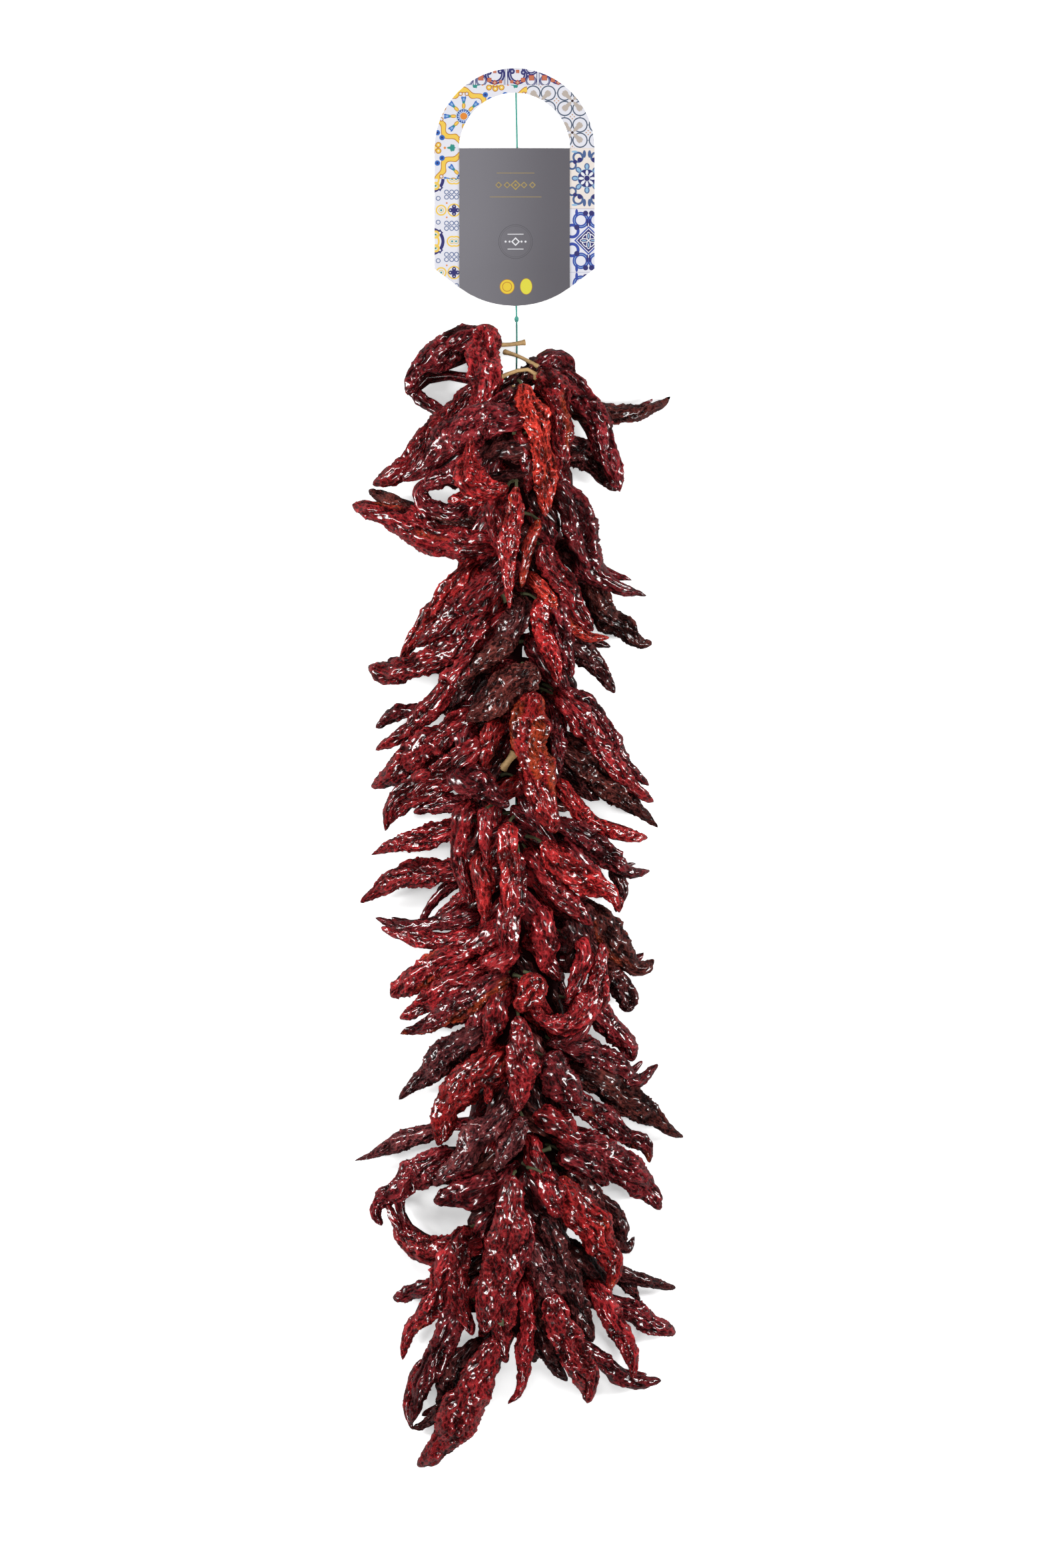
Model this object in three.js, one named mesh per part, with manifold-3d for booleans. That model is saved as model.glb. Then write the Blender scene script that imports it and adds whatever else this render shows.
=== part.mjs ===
// String of dried chillies with its hang card, lying on its back. Millimetres, +Z up, +Y towards the card.
import * as THREE from 'three';
import { mergeVertices } from 'three/addons/utils/BufferGeometryUtils.js';
import Module from 'manifold-3d';

const wasm = await Module();
wasm.setup();

// ---- driving dimensions -------------------------------------------------------------------------

const FIT_GAP = 0.3; // air left between two pieces that touch
const WELD = 1e-3; // corners nearer than this are one

// heap of pods: crest height at stations along the string, and how it falls away sideways
const CREST = [
  [455, 32], [400, 66], [340, 102], [280, 118], [-460, 118], [-560, 100], [-640, 70], [-710, 34],
];
const SIDE_DROOP = 0.0022; // mm of fall for each mm squared away from the string
const POD_GIRTH = 1.12; // few flat sides lie inside the round of a real pod, so rings are this much wider
const POD_FLATNESS = 0.62; // depth of a pod for each mm of its width
const POD_MIN_DEPTH = 3;
const POD_SIDES = [[0, 4], [30, 5]]; // [from this width, sides]
const POD_RINGS = { // for each number of given points: [place along the pod, share of the width]
  3: [[0, 0.6], [0.28, 1], [0.8, 1]],
  4: [[0, 0.55], [0.22, 1], [0.66, 1], [0.95, 0.65]],
  5: [[0, 0.5], [0.14, 1], [0.46, 1], [0.78, 1], [0.965, 0.6]],
};
const NECK_PULL = 0.55; // the hidden neck of a pod runs in towards the string: share of x that is left
const NECK_MAX_X = 32;
const NECK_RISE = 5;
const NECK_DEPTH = 30; // how far below the shoulder the neck starts, but never under NECK_FLOOR of its height
const NECK_FLOOR = 0.6;
const STEM_SIDES = 4;

// pods at the back of the string copy the side pods above them, lower and shorter
const BACK_POD_MIN_REACH = 118; // only pods that reach this far sideways have one below
const BACK_POD_STEP = 4; // and of those, every fourth one
const BACK_POD_HEIGHT = 0.26;
const BACK_POD_WIDTH = 0.8;
const BACK_POD_LENGTH = 0.82;

const TWINE_RADIUS = 0.9;
const TWINE_SIDES = 8;

const CARD_CENTRE_X = -2;
const CARD_HALF_WIDTH = 80.6;
const CARD_SPRING_Y = 625; // where the straight legs meet the round top
const CARD_WINDOW_RADIUS = 56;
const CARD_LEG_END_Y = 504;
const CARD_FOOT_HALF_WIDTH = 55.6; // the slanted leg ends meet the bottom arc here
const CARD_BOTTOM_RADIUS = 92.7;
const CARD_BOTTOM_Y = 466.4;
const CARD_THICKNESS = 0.8;
const CARD_BOW = 2.5; // height of the underside over the twine, the long edges lie on the table
const CARD_ARCH_STEPS = 24;
const PLATE_COLUMNS = [-44, -33, -22, -11, 0, 11, 22, 33, 44]; // folds of the bowed plate, from its middle
const PANEL_THICKNESS = 0.5;
const PANEL_HALF_WIDTH = 55.6;
const PANEL_COLUMNS = 12;

// ---- pods: [depth under the crest at shoulder and tip], [widths], then shoulder, bends and tip ----

const PODS = [
  // top pair and the pods around the first stems
  [[14, 22], [32, 28, 18], [-19, 427], [-42, 434], [-72, 426], [-100, 401], [-111, 374]],
  [[22, 30], [20, 20, 12], [-42, 415], [-64, 406], [-88, 393], [-107, 377]],
  [[8, 14], [34, 34, 26], [-31, 441], [-33, 405], [-32, 377], [-44, 355]],
  [[24, 34], [24, 24, 20], [-42, 376], [-64, 356], [-90, 328], [-114, 300], [-146, 284]],
  [[36, 46], [15, 15, 12], [-104, 381], [-86, 363], [-58, 349]],
  [[30, 30], [26, 22, 14], [14, 395], [-8, 383], [-24, 363]],
  [[22, 24], [28, 27, 20], [19, 401], [36, 408], [51, 395], [58, 375]],
  [[20, 26], [27, 25, 22], [30, 399], [54, 386], [74, 359], [89, 323], [104, 275]],
  [[44, 34], [24, 22, 10], [48, 362], [80, 359], [112, 356], [138, 363], [156, 376]],
  [[44, 44], [36, 31, 17], [40, 320], [66, 315], [85, 297], [101, 277]],
  [[8, 8], [30, 21, 20], [6, 381], [14, 359], [25, 332], [27, 302], [29, 249]],
  [[16, 22], [34, 24, 17], [34, 383], [43, 355], [44, 322], [47, 281]],
  // second tier, left
  [[12, 20], [22, 24, 16], [-4, 369], [-20, 363], [-34, 349]],
  [[12, 26], [30, 32, 18], [-3, 349], [-30, 349], [-60, 335], [-86, 308], [-116, 287]],
  [[6, 8], [18, 18, 12], [-14, 281], [-38, 283], [-54, 297], [-52, 315], [-43, 329]],
  [[22, 26], [26, 24, 15], [10, 319], [-15, 315], [-40, 303]],
  [[26, 30], [24, 22, 16], [16, 295], [-10, 291], [-38, 291]],
  [[20, 22], [20, 20, 16], [8, 327], [13, 299], [10, 273]],
  [[28, 30], [28, 28, 20], [-42, 302], [-68, 292], [-96, 281]],
  [[34, 34], [22, 20, 16], [-50, 265], [-72, 258], [-92, 267], [-95, 281], [-78, 285]],
  [[26, 28], [34, 33, 24], [-28, 223], [-60, 224], [-100, 239], [-136, 257], [-167, 266]],
  [[36, 38], [22, 20, 18], [-30, 243], [-62, 247], [-98, 254], [-126, 267], [-150, 281]],
  [[26, 28], [22, 20, 14], [-26, 274], [-48, 270], [-70, 267]],
  [[14, 16], [20, 24, 14], [-20, 265], [-21, 239], [-14, 209]],
  // front of the second tier
  [[0, 0], [18, 20, 9], [0, 279], [-3, 252], [-9, 222], [-8, 192], [-7, 157]],
  [[8, 2], [13, 13, 8], [22, 247], [15, 229], [10, 209], [5, 179]],
  // second tier, right
  [[20, 30], [34, 36, 13], [46, 273], [61, 243], [68, 212], [90, 188], [132, 173]],
  [[38, 40], [24, 32, 16], [77, 177], [84, 157], [105, 141], [124, 126], [137, 127]],
  [[8, 16], [26, 26, 20], [26, 221], [38, 197], [54, 169], [77, 136]],
  [[12, 24], [16, 17, 10], [20, 184], [36, 165], [52, 145], [70, 133], [94, 131]],
  [[44, 46], [16, 14, 9], [58, 133], [78, 126], [95, 122]],
  [[34, 38], [30, 27, 14], [54, 127], [74, 108], [89, 90], [99, 75]],
  [[10, 16], [22, 17, 14], [22, 167], [26, 142], [34, 115], [43, 83]],
  [[18, 24], [22, 21, 15], [41, 163], [46, 135], [51, 109], [55, 89]],
  [[36, 38], [26, 26, 18], [56, 214], [72, 192], [84, 172]],
  // third tier, left
  [[22, 34], [27, 24, 14], [-48, 198], [-68, 174], [-89, 148], [-109, 120], [-117, 104]],
  [[14, 28], [30, 31, 18], [-28, 183], [-54, 159], [-78, 139], [-102, 121]],
  [[20, 34], [28, 28, 26], [-36, 147], [-62, 121], [-98, 104], [-130, 97], [-150, 104]],
  [[14, 18], [26, 26, 18], [-12, 197], [-32, 173], [-46, 147]],
  [[12, 16], [24, 28, 18], [4, 155], [-10, 133], [-34, 109]],
  [[16, 30], [26, 22, 15], [-46, 110], [-66, 85], [-88, 62], [-108, 38], [-143, 18]],
  [[38, 36], [18, 17, 10], [-96, 60], [-118, 55], [-142, 41]],
  [[22, 34], [32, 34, 22], [-54, 46], [-80, 29], [-105, 9], [-129, -9], [-147, -19]],
  [[14, 28], [28, 26, 15], [-44, 20], [-68, 1], [-98, -17], [-124, -35], [-132, -64]],
  [[20, 32], [18, 17, 11], [-34, -2], [-62, -15], [-95, -27], [-117, -40], [-132, -58]],
  [[30, 34], [24, 22, 12], [-50, -33], [-76, -36], [-104, -44]],
  [[2, 8], [37, 38, 23], [16, 97], [-8, 81], [-30, 63], [-51, 47]],
  [[8, 14], [22, 20, 12], [-6, 128], [-34, 106], [-60, 81]],
  [[16, 14], [22, 26, 16], [-22, 39], [-29, 17], [-36, -7]],
  [[20, 24], [26, 25, 14], [-52, 29], [-49, 7], [-62, -13]],
  [[12, 8], [24, 32, 18], [-58, -11], [-36, -18], [-6, -38]],
  [[24, 28], [26, 26, 18], [-38, 98], [-58, 76], [-72, 52]],
  // third tier, front and right
  [[2, 2], [40, 31, 27], [16, 71], [13, 42], [16, 7], [25, -25], [39, -66]],
  [[16, 30], [25, 23, 16], [49, 65], [69, 41], [92, 13], [114, -15], [139, -34]],
  [[22, 34], [20, 18, 13], [52, 73], [74, 62], [90, 37], [106, 9], [134, -18]],
  [[40, 40], [36, 39, 13], [53, 21], [77, -1], [101, -21], [122, -39], [143, -60]],
  [[46, 46], [28, 26, 16], [46, 0], [64, -18], [84, -32]],
  [[26, 32], [20, 19, 13], [49, -21], [66, -47], [90, -61], [112, -67], [133, -69]],
  [[30, 32], [18, 18, 12], [36, 63], [42, 27], [40, -17]],
  // fourth tier, left
  [[32, 32], [25, 25, 11], [-60, -58], [-86, -67], [-115, -73], [-147, -87]],
  [[30, 34], [22, 29, 14], [-58, -101], [-85, -103], [-112, -106], [-136, -120], [-158, -135]],
  [[44, 46], [14, 13, 10], [-57, -112], [-76, -126], [-88, -140], [-97, -154]],
  [[30, 34], [20, 18, 12], [-48, -128], [-66, -140], [-84, -152]],
  [[28, 36], [19, 16, 12], [-48, -148], [-78, -155], [-108, -158], [-143, -149]],
  [[30, 36], [20, 18, 12], [-48, -167], [-80, -171], [-110, -168], [-137, -158]],
  [[12, 18], [22, 20, 16], [-51, -43], [-56, -73], [-54, -103], [-47, -137]],
  [[10, 12], [19, 16, 8], [-33, -41], [-33, -68], [-30, -98]],
  [[14, 16], [23, 25, 16], [-34, -97], [-30, -121], [-32, -153]],
  // fourth tier, front
  [[6, 4], [24, 23, 16], [-8, -56], [-8, -83], [-7, -113], [-8, -145]],
  [[8, 2], [16, 20, 13], [4, -89], [2, -123], [-2, -158], [6, -193]],
  [[12, 10], [15, 16, 12], [-12, -131], [-14, -158], [-11, -185]],
  // fourth tier, right
  [[8, 16], [27, 29, 16], [28, -75], [52, -101], [78, -115], [99, -129], [103, -145]],
  [[16, 22], [24, 24, 17], [20, -93], [40, -121], [58, -141], [78, -157]],
  [[22, 26], [28, 26, 16], [56, -86], [76, -106], [92, -124]],
  [[18, 28], [22, 28, 11], [54, -59], [76, -75], [94, -89], [112, -103], [135, -102]],
  [[40, 40], [17, 14, 10], [96, -97], [105, -118], [99, -144]],
  [[34, 38], [30, 36, 16], [80, -146], [93, -169], [108, -188], [127, -199], [139, -190]],
  [[18, 20], [21, 29, 20], [26, -149], [30, -175], [28, -205]],
  [[32, 34], [28, 26, 18], [56, -155], [60, -179], [50, -205]],
  [[36, 40], [28, 28, 20], [66, -150], [75, -178], [72, -206]],
  // fifth tier, left
  [[18, 26], [24, 26, 16], [-18, -161], [-40, -174], [-64, -187]],
  [[14, 22], [24, 25, 16], [-2, -183], [-25, -195], [-54, -205]],
  [[26, 36], [26, 29, 24], [-56, -188], [-85, -199], [-108, -213], [-127, -229]],
  [[24, 34], [28, 29, 16], [-46, -208], [-74, -222], [-98, -238], [-118, -251]],
  [[16, 30], [28, 31, 13], [-22, -216], [-50, -233], [-82, -252], [-118, -266]],
  [[20, 34], [28, 32, 15], [-40, -268], [-62, -282], [-87, -303], [-119, -332]],
  [[12, 16], [22, 26, 16], [-17, -233], [-24, -258], [-31, -283]],
  [[22, 24], [21, 21, 15], [-36, -239], [-43, -261], [-54, -277]],
  // fifth tier, front
  [[6, 4], [23, 38, 22], [2, -249], [4, -275], [3, -303], [1, -343]],
  [[6, 6], [30, 32, 22], [22, -210], [11, -225], [2, -243]],
  [[14, 10], [17, 28, 18], [86, -175], [82, -208], [68, -241], [42, -255], [14, -243]],
  [[20, 14], [18, 20, 14], [68, -181], [61, -209], [49, -235]],
  [[18, 20], [18, 22, 17], [68, -253], [54, -269], [28, -275]],
  // fifth tier, right
  [[42, 44], [22, 25, 21], [95, -201], [107, -223], [114, -244]],
  [[32, 36], [26, 27, 22], [74, -240], [95, -257], [110, -275], [117, -294]],
  [[24, 34], [30, 31, 12], [50, -276], [80, -286], [104, -301], [120, -311], [143, -295]],
  [[32, 38], [31, 36, 13], [68, -304], [98, -322], [126, -342], [150, -360], [169, -371]],
  [[8, 16], [38, 37, 24], [32, -289], [47, -314], [64, -339]],
  [[22, 32], [26, 25, 15], [64, -333], [84, -347], [106, -363], [128, -377], [134, -396]],
  // sixth tier, left
  [[12, 28], [36, 39, 26], [-25, -291], [-50, -314], [-68, -343], [-79, -378]],
  [[16, 18], [20, 21, 13], [-12, -293], [-24, -309], [-30, -335]],
  [[38, 36], [20, 19, 8], [-80, -361], [-110, -371], [-138, -385], [-164, -394]],
  [[8, 12], [20, 25, 14], [7, -349], [-4, -371], [-22, -401]],
  [[12, 22], [23, 28, 18], [-15, -343], [-38, -367], [-60, -393], [-84, -417]],
  [[26, 34], [26, 28, 15], [-78, -390], [-101, -401], [-121, -421], [-141, -443], [-134, -459]],
  [[34, 34], [14, 12, 9], [-110, -399], [-118, -428], [-112, -461]],
  [[24, 30], [38, 36, 24], [-40, -421], [-74, -430], [-106, -439]],
  [[26, 34], [34, 29, 11], [-50, -475], [-79, -481], [-102, -474], [-121, -453], [-132, -429]],
  [[30, 34], [32, 32, 22], [-48, -393], [-84, -405], [-112, -416]],
  // sixth tier, front
  [[6, 10], [33, 44, 28], [-4, -409], [-6, -443], [-10, -478], [-22, -515], [-32, -565]],
  [[10, 12], [24, 22, 10], [8, -443], [4, -478], [-6, -508], [-11, -535]],
  [[8, 12], [26, 30, 22], [30, -405], [36, -427], [46, -447]],
  [[8, 18], [34, 38, 19], [44, -411], [62, -437], [82, -466], [97, -496], [92, -522]],
  [[14, 16], [23, 26, 22], [31, -453], [42, -485], [56, -523], [77, -575]],
  [[14, 16], [22, 24, 20], [21, -479], [29, -509], [42, -537]],
  // sixth tier, right
  [[20, 24], [27, 29, 20], [34, -348], [49, -360], [66, -374]],
  [[28, 36], [34, 39, 26], [54, -370], [84, -386], [112, -405], [135, -425], [145, -444]],
  [[20, 26], [30, 28, 18], [60, -389], [79, -404], [93, -416]],
  [[34, 36], [20, 20, 12], [82, -432], [102, -452], [108, -480], [119, -467]],
  [[36, 36], [17, 14, 9], [96, -500], [120, -511], [142, -517], [161, -522]],
  [[46, 46], [18, 16, 8], [98, -506], [114, -521], [124, -535]],
  [[30, 34], [30, 28, 20], [64, -410], [82, -440], [90, -468]],
  [[34, 40], [26, 26, 18], [58, -482], [78, -504], [96, -524]],
  // last tier
  [[44, 44], [21, 20, 19], [-82, -518], [-105, -526], [-125, -532]],
  [[18, 30], [34, 26, 12], [-64, -487], [-76, -518], [-91, -543], [-108, -564], [-115, -595]],
  [[12, 16], [22, 20, 18], [-56, -471], [-57, -508], [-54, -538], [-43, -567]],
  [[24, 20], [28, 28, 14], [-58, -543], [-77, -578], [-90, -608], [-102, -642], [-107, -661]],
  [[30, 22], [12, 11, 8], [-94, -593], [-105, -615], [-109, -643], [-105, -665]],
  [[30, 24], [22, 24, 13], [-46, -581], [-66, -607], [-71, -633], [-85, -653], [-107, -665]],
  [[8, 10], [34, 43, 24], [-24, -572], [-38, -605], [-55, -644], [-77, -680], [-101, -703]],
  [[14, 14], [18, 19, 10], [9, -522], [10, -556], [8, -594], [3, -623], [-10, -637]],
  [[12, 18], [22, 24, 16], [-10, -523], [-16, -559], [-10, -595]],
  [[8, 12], [33, 33, 23], [35, -527], [46, -560], [59, -592], [71, -614], [71, -637]],
  [[30, 28], [28, 27, 14], [22, -563], [34, -593], [52, -614]],
  [[36, 22], [16, 18, 14], [62, -575], [86, -594], [108, -611], [128, -616], [147, -615]],
  [[26, 22], [24, 24, 14], [82, -523], [96, -551], [111, -575], [117, -598], [116, -615]],
  [[40, 30], [22, 24, 18], [94, -535], [118, -545], [140, -558], [161, -568]],
];

// ---- stems: radius, then points with their height -------------------------------------------------

const STEMS = [
  [2, [-22, 426, 31], [-8, 426, 29], [8, 428.5, 28]],
  [1.8, [-13, 419, 31], [2, 414, 35], [22, 403, 40]],
  [1.9, [-22, 386, 44], [-16, 392, 44], [-4, 397, 43], [10, 399, 43], [17, 396, 40], [15, 386, 40]],
  [2, [-2, 383, 62], [-6, 375, 66], [-12, 370, 64]],
  [2, [-4, 336, 82], [6, 334, 84], [16, 340, 84]],
  [2.4, [-30, 229, 84], [-22, 225, 90], [-12, 220, 90]],
  [2.6, [-21, 182, 92], [-15, 175, 96], [-10, 166, 96]],
  [1.9, [0, 161, 96], [12, 159, 96], [26, 156, 92]],
  [2.2, [2, 127, 88], [10, 127, 90], [20, 124, 88]],
  [4.2, [-14, 0, 90], [-8, 8, 94], [-2, 16, 92]],
  [1.9, [-16, -6, 86], [-8, -5, 88], [2, -12, 84]],
  [1.9, [4, -8, 82], [-6, -14, 84], [-14, -20, 82]],
  [2, [-16, -45, 78], [0, -43, 80], [14, -48, 82], [26, -56, 86]],
  [2, [-4, -205, 88], [8, -208, 90], [24, -207, 88]],
  [2.4, [10, -384, 82], [22, -382, 86], [34, -378, 84]],
  [2.6, [6, -392, 78], [18, -400, 82], [30, -410, 84]],
  [3, [-16, -554, 94], [-12, -545, 96], [-9, -538, 94]],
];

// ---- core under the visible pods: [y, middle x, half width, height] from top to bottom ------------

const CORE = [
  [410, 4, 12, 44], [378, 2, 32, 70], [325, 2, 46, 88], [265, -3, 52, 94], [150, 2, 45, 92],
  [10, 3, 48, 92], [-70, 1, 44, 92], [-150, 5, 55, 92], [-300, 4, 52, 92], [-450, 1, 52, 92],
  [-525, 4, 44, 88], [-574, 5, 38, 74], [-606, 2, 18, 50],
];
const CORE_SECTION = 0.55; // below 1 the section of a lump is squarer than an ellipse
const CORE_SIDES = 8;
const CORE_SINK = 3; // the mass is pressed flat on the table this deep

// narrow places where the table shows between the pods: x, y and half sizes
const GAPS = [
  [0, -40, 16, 22],
  [9, 148, 5, 12], [10, 118, 4, 5], [23, 100, 5, 5], [43, 11, 6, 8], [13, -119, 5, 5],
  [8, -206, 9, 7], [17, -354, 6, 12], [14, -407, 4, 6], [19, -431, 4, 5],
];

// ---- twine route ----------------------------------------------------------------------------------

const FREE_TWINE = [
  [-0.6, 689, 1.1], [-0.4, 672, 1], [0, 654, 1], [0.4, 636, 1], [0.6, 618, 1], [0.6, 600, 1],
  [0.5, 582, 1], [0.4, 564, 1], [0.2, 546, 1], [0, 528, 1], [-0.2, 510, 1], [-0.3, 494, 1],
  [-0.4, 480, 1], [-0.3, 467, 1.2], [0, 455, 4.2], [0.2, 443, 9.4], [0.3, 431, 15.4],
  [0.2, 419, 21.3], [0, 406, 27.4],
];
const HELD_TWINE = [
  [0, 405.5, 27.7], [-0.5, 385, 38], [-0.5, 345, 50], [0, 280, 57], [0.5, 180, 59], [0, 80, 59],
  [-0.5, -46, 59], [0, -180, 59], [0.5, -300, 59], [0, -420, 58], [0, -500, 54], [0, -560, 48],
];
const CHANNEL_END = [0, -563, 47.5];
const CHANNEL_RADIUS = 2.2; // the hidden way of the twine through the pods
const CHANNEL_SIDES = 6;
const CHANNEL_STEPS = 28;
const FREE_TWINE_STEPS = 46;
const HELD_TWINE_STEPS = 30;
const MIDDLE_KNOT = { y: 453, halfAcross: 2.3, halfAlong: 3.4 };
const INNER_KNOT = { y: -47, halfAcross: 2.3, halfAlong: 3 };
const END_KNOT = { halfAcross: 3.2, halfAlong: 3, halfDepth: 1.05, middleZ: 1.06 };
const KNOT_SIDES = 6;
const KNOT_RINGS = 4;
const ROUTE_SAMPLES = 400; // places looked at to find a knot's own place on the route

// the core's wells and the table under the part, as boxes for cutting
const WELL_MIDDLE_Z = 60;
const WELL_HALF_HEIGHT = 120;
const TABLE_HALF_SIZE = [400, 900, 100];

// ---- colours --------------------------------------------------------------------------------------

const chilliSkin = new THREE.MeshStandardMaterial({ color: 0x5a1214, roughness: 0.35, metalness: 0 });
const printedCard = new THREE.MeshStandardMaterial({ color: 0xd9d3c6, roughness: 0.6, metalness: 0 });
const greyCard = new THREE.MeshStandardMaterial({ color: 0x6a676c, roughness: 0.5, metalness: 0 });
const greenTwine = new THREE.MeshStandardMaterial({ color: 0x3f8f80, roughness: 0.8, metalness: 0 });

// ---- helpers --------------------------------------------------------------------------------------

/** Closed solid for joining and cutting, from any closed three.js geometry. */
function toSolid(geometry) {
  const bare = geometry.clone();
  bare.deleteAttribute('normal');
  bare.deleteAttribute('uv');
  const merged = mergeVertices(bare, WELD);
  const corners = [];
  for (let i = 0; i < merged.index.count; i += 3) {
    const [a, b, c] = [merged.index.getX(i), merged.index.getX(i + 1), merged.index.getX(i + 2)];
    if (a !== b && b !== c && c !== a) corners.push(a, b, c);
  }
  const triVerts = Uint32Array.from(corners);
  const vertProperties = Float32Array.from(merged.attributes.position.array);
  return new wasm.Manifold(new wasm.Mesh({ numProp: 3, vertProperties, triVerts }));
}

/** three.js geometry from a joined or cut solid. */
function toGeometry(solid) {
  const mesh = solid.getMesh();
  const geometry = new THREE.BufferGeometry();
  geometry.setAttribute('position', new THREE.BufferAttribute(mesh.vertProperties, 3));
  geometry.setIndex(new THREE.BufferAttribute(mesh.triVerts, 1));
  geometry.computeVertexNormals();
  return geometry;
}

/** Value at x on a line through [x, value] stations, which may run up or down. */
function between(stations, x) {
  const rising = stations[0][0] < stations[stations.length - 1][0] ? stations : [...stations].reverse();
  if (x <= rising[0][0]) return rising[0][1];
  for (let i = 1; i < rising.length; i += 1) {
    const [x0, v0] = rising[i - 1];
    const [x1, v1] = rising[i];
    if (x <= x1) return v0 + (v1 - v0) * ((x - x0) / (x1 - x0));
  }
  return rising[rising.length - 1][1];
}

/** Smooth curve through the given points. */
function curveThrough(points) {
  return new THREE.CatmullRomCurve3(points.map((p) => new THREE.Vector3(...p)), false, 'centripetal');
}

function squared(value, power) {
  return Math.sign(value) * Math.abs(value) ** power;
}

/** A closed body along a curve, pointed at both ends, with a ring of half sizes sizeAt(t) at each station. */
function loft(curve, stations, sides, sizeAt, squareness = 1) {
  const profile = [0, ...stations, 1].map((t) => new THREE.Vector2(t > 0 && t < 1 ? 1 : 0, t));
  const geometry = new THREE.LatheGeometry(profile, sides, Math.PI / 2);
  const position = geometry.attributes.position;
  const up = new THREE.Vector3(0, 0, 1);
  for (let i = 0; i < position.count; i += 1) {
    const t = position.getY(i);
    const tangent = curve.getTangentAt(t);
    const across = new THREE.Vector3().crossVectors(tangent, up).normalize();
    const over = new THREE.Vector3().crossVectors(across, tangent).normalize();
    const [halfWidth, halfDepth] = t > 0 && t < 1 ? sizeAt(t) : [0, 0];
    const point = curve.getPointAt(t)
      .addScaledVector(across, squared(position.getX(i), squareness) * halfWidth)
      .addScaledVector(over, squared(position.getZ(i), squareness) * halfDepth);
    position.setXYZ(i, point.x, point.y, point.z);
  }
  return toSolid(geometry);
}

/** The main body of a solid once its nearest corners are welded: loose scraps are dropped. */
function mainBody(solid) {
  const bodies = toSolid(toGeometry(solid)).decompose();
  return bodies.reduce((best, body) => (body.volume() > best.volume() ? body : best));
}

function facingOut(solid) {
  if (solid.volume() > 0) return solid;
  throw new Error('a solid is inside out');
}

// ---- pods, stems and core -------------------------------------------------------------------------

/** Place of each point of a pod, its height taken from the crest of the heap. */
function podPath([depths, , ...points]) {
  return points.map(([x, y], i) => {
    const depth = depths[0] + (depths[1] - depths[0]) * (i / (points.length - 1));
    return [x, y, between(CREST, y) - SIDE_DROOP * x * x - depth];
  });
}

function podSolid(path, widths, neckDepth = NECK_DEPTH) {
  const [x, y, z] = path[0];
  const neckX = THREE.MathUtils.clamp(x * NECK_PULL, -NECK_MAX_X, NECK_MAX_X);
  const neck = [neckX, y + NECK_RISE, Math.max(z - neckDepth, NECK_FLOOR * z)];
  const curve = curveThrough([neck, ...path]);
  const start = Math.hypot(x - neck[0], y - neck[1], z - neck[2]) / curve.getLength();
  const widthStations = [[0.15, widths[0]], [0.5, widths[1]], [0.85, widths[2]]];
  const widest = Math.max(...widths);
  const rings = POD_RINGS[path.length];
  const sides = POD_SIDES.filter(([from]) => widest >= from).at(-1)[1];
  const stations = rings.map(([t]) => start + (1 - start) * t);
  return loft(curve, stations, sides, (t) => {
    const along = (t - start) / (1 - start);
    const width = POD_GIRTH * between(widthStations, along) * between(rings, along);
    return [width / 2, (width * POD_FLATNESS + POD_MIN_DEPTH) / 2];
  });
}

/** The pod at the back of the string, under the given one. */
function backPod(row) {
  const path = podPath(row);
  const start = path[0];
  const lowered = path.map(([x, y, z]) => [
    start[0] + (x - start[0]) * BACK_POD_LENGTH,
    start[1] + (y - start[1]) * BACK_POD_LENGTH,
    z * BACK_POD_HEIGHT,
  ]);
  return podSolid(lowered, row[1].map((width) => width * BACK_POD_WIDTH), -NECK_DEPTH);
}

function stemSolid([radius, ...path]) {
  const stations = path.length > 3 ? [0.04, 0.3, 0.55, 0.8, 0.96] : [0.04, 0.5, 0.96];
  return loft(curveThrough(path), stations, STEM_SIDES, () => [radius, radius]);
}

/** The mass of hidden pods along the string, flat below. */
function coreSolid(sections) {
  const [first, last] = [sections[0], sections[sections.length - 1]];
  const path = sections.map(([y, x, , height]) => [x, y, height / 2 - CORE_SINK]);
  const widths = sections.map(([y, , halfWidth]) => [y, halfWidth]);
  const heights = sections.map(([y, , , height]) => [y, height / 2]);
  const curve = curveThrough(path);
  const count = sections.length - 2;
  const stations = Array.from({ length: count }, (_, i) => (i + 1) / (count + 1));
  return loft(curve, stations, CORE_SIDES, (t) => {
    const y = THREE.MathUtils.clamp(curve.getPointAt(t).y, last[0], first[0]);
    return [between(widths, y), between(heights, y)];
  }, CORE_SECTION);
}

function boxSolid(middle, halfSize) {
  const box = new THREE.BoxGeometry(...halfSize.map((half) => 2 * half));
  box.translate(...middle);
  return toSolid(box);
}

/** Round bar along a route, with flat ends. */
function bar(route, radius, sides, steps) {
  const outline = new THREE.Shape();
  for (let i = 0; i <= sides; i += 1) {
    const angle = (i / sides) * 2 * Math.PI;
    const corner = [radius * Math.cos(angle), radius * Math.sin(angle)];
    if (i === 0) outline.moveTo(...corner);
    else outline.lineTo(...corner);
  }
  return new THREE.ExtrudeGeometry(outline, { steps, extrudePath: curveThrough(route), bevelEnabled: false });
}

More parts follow.
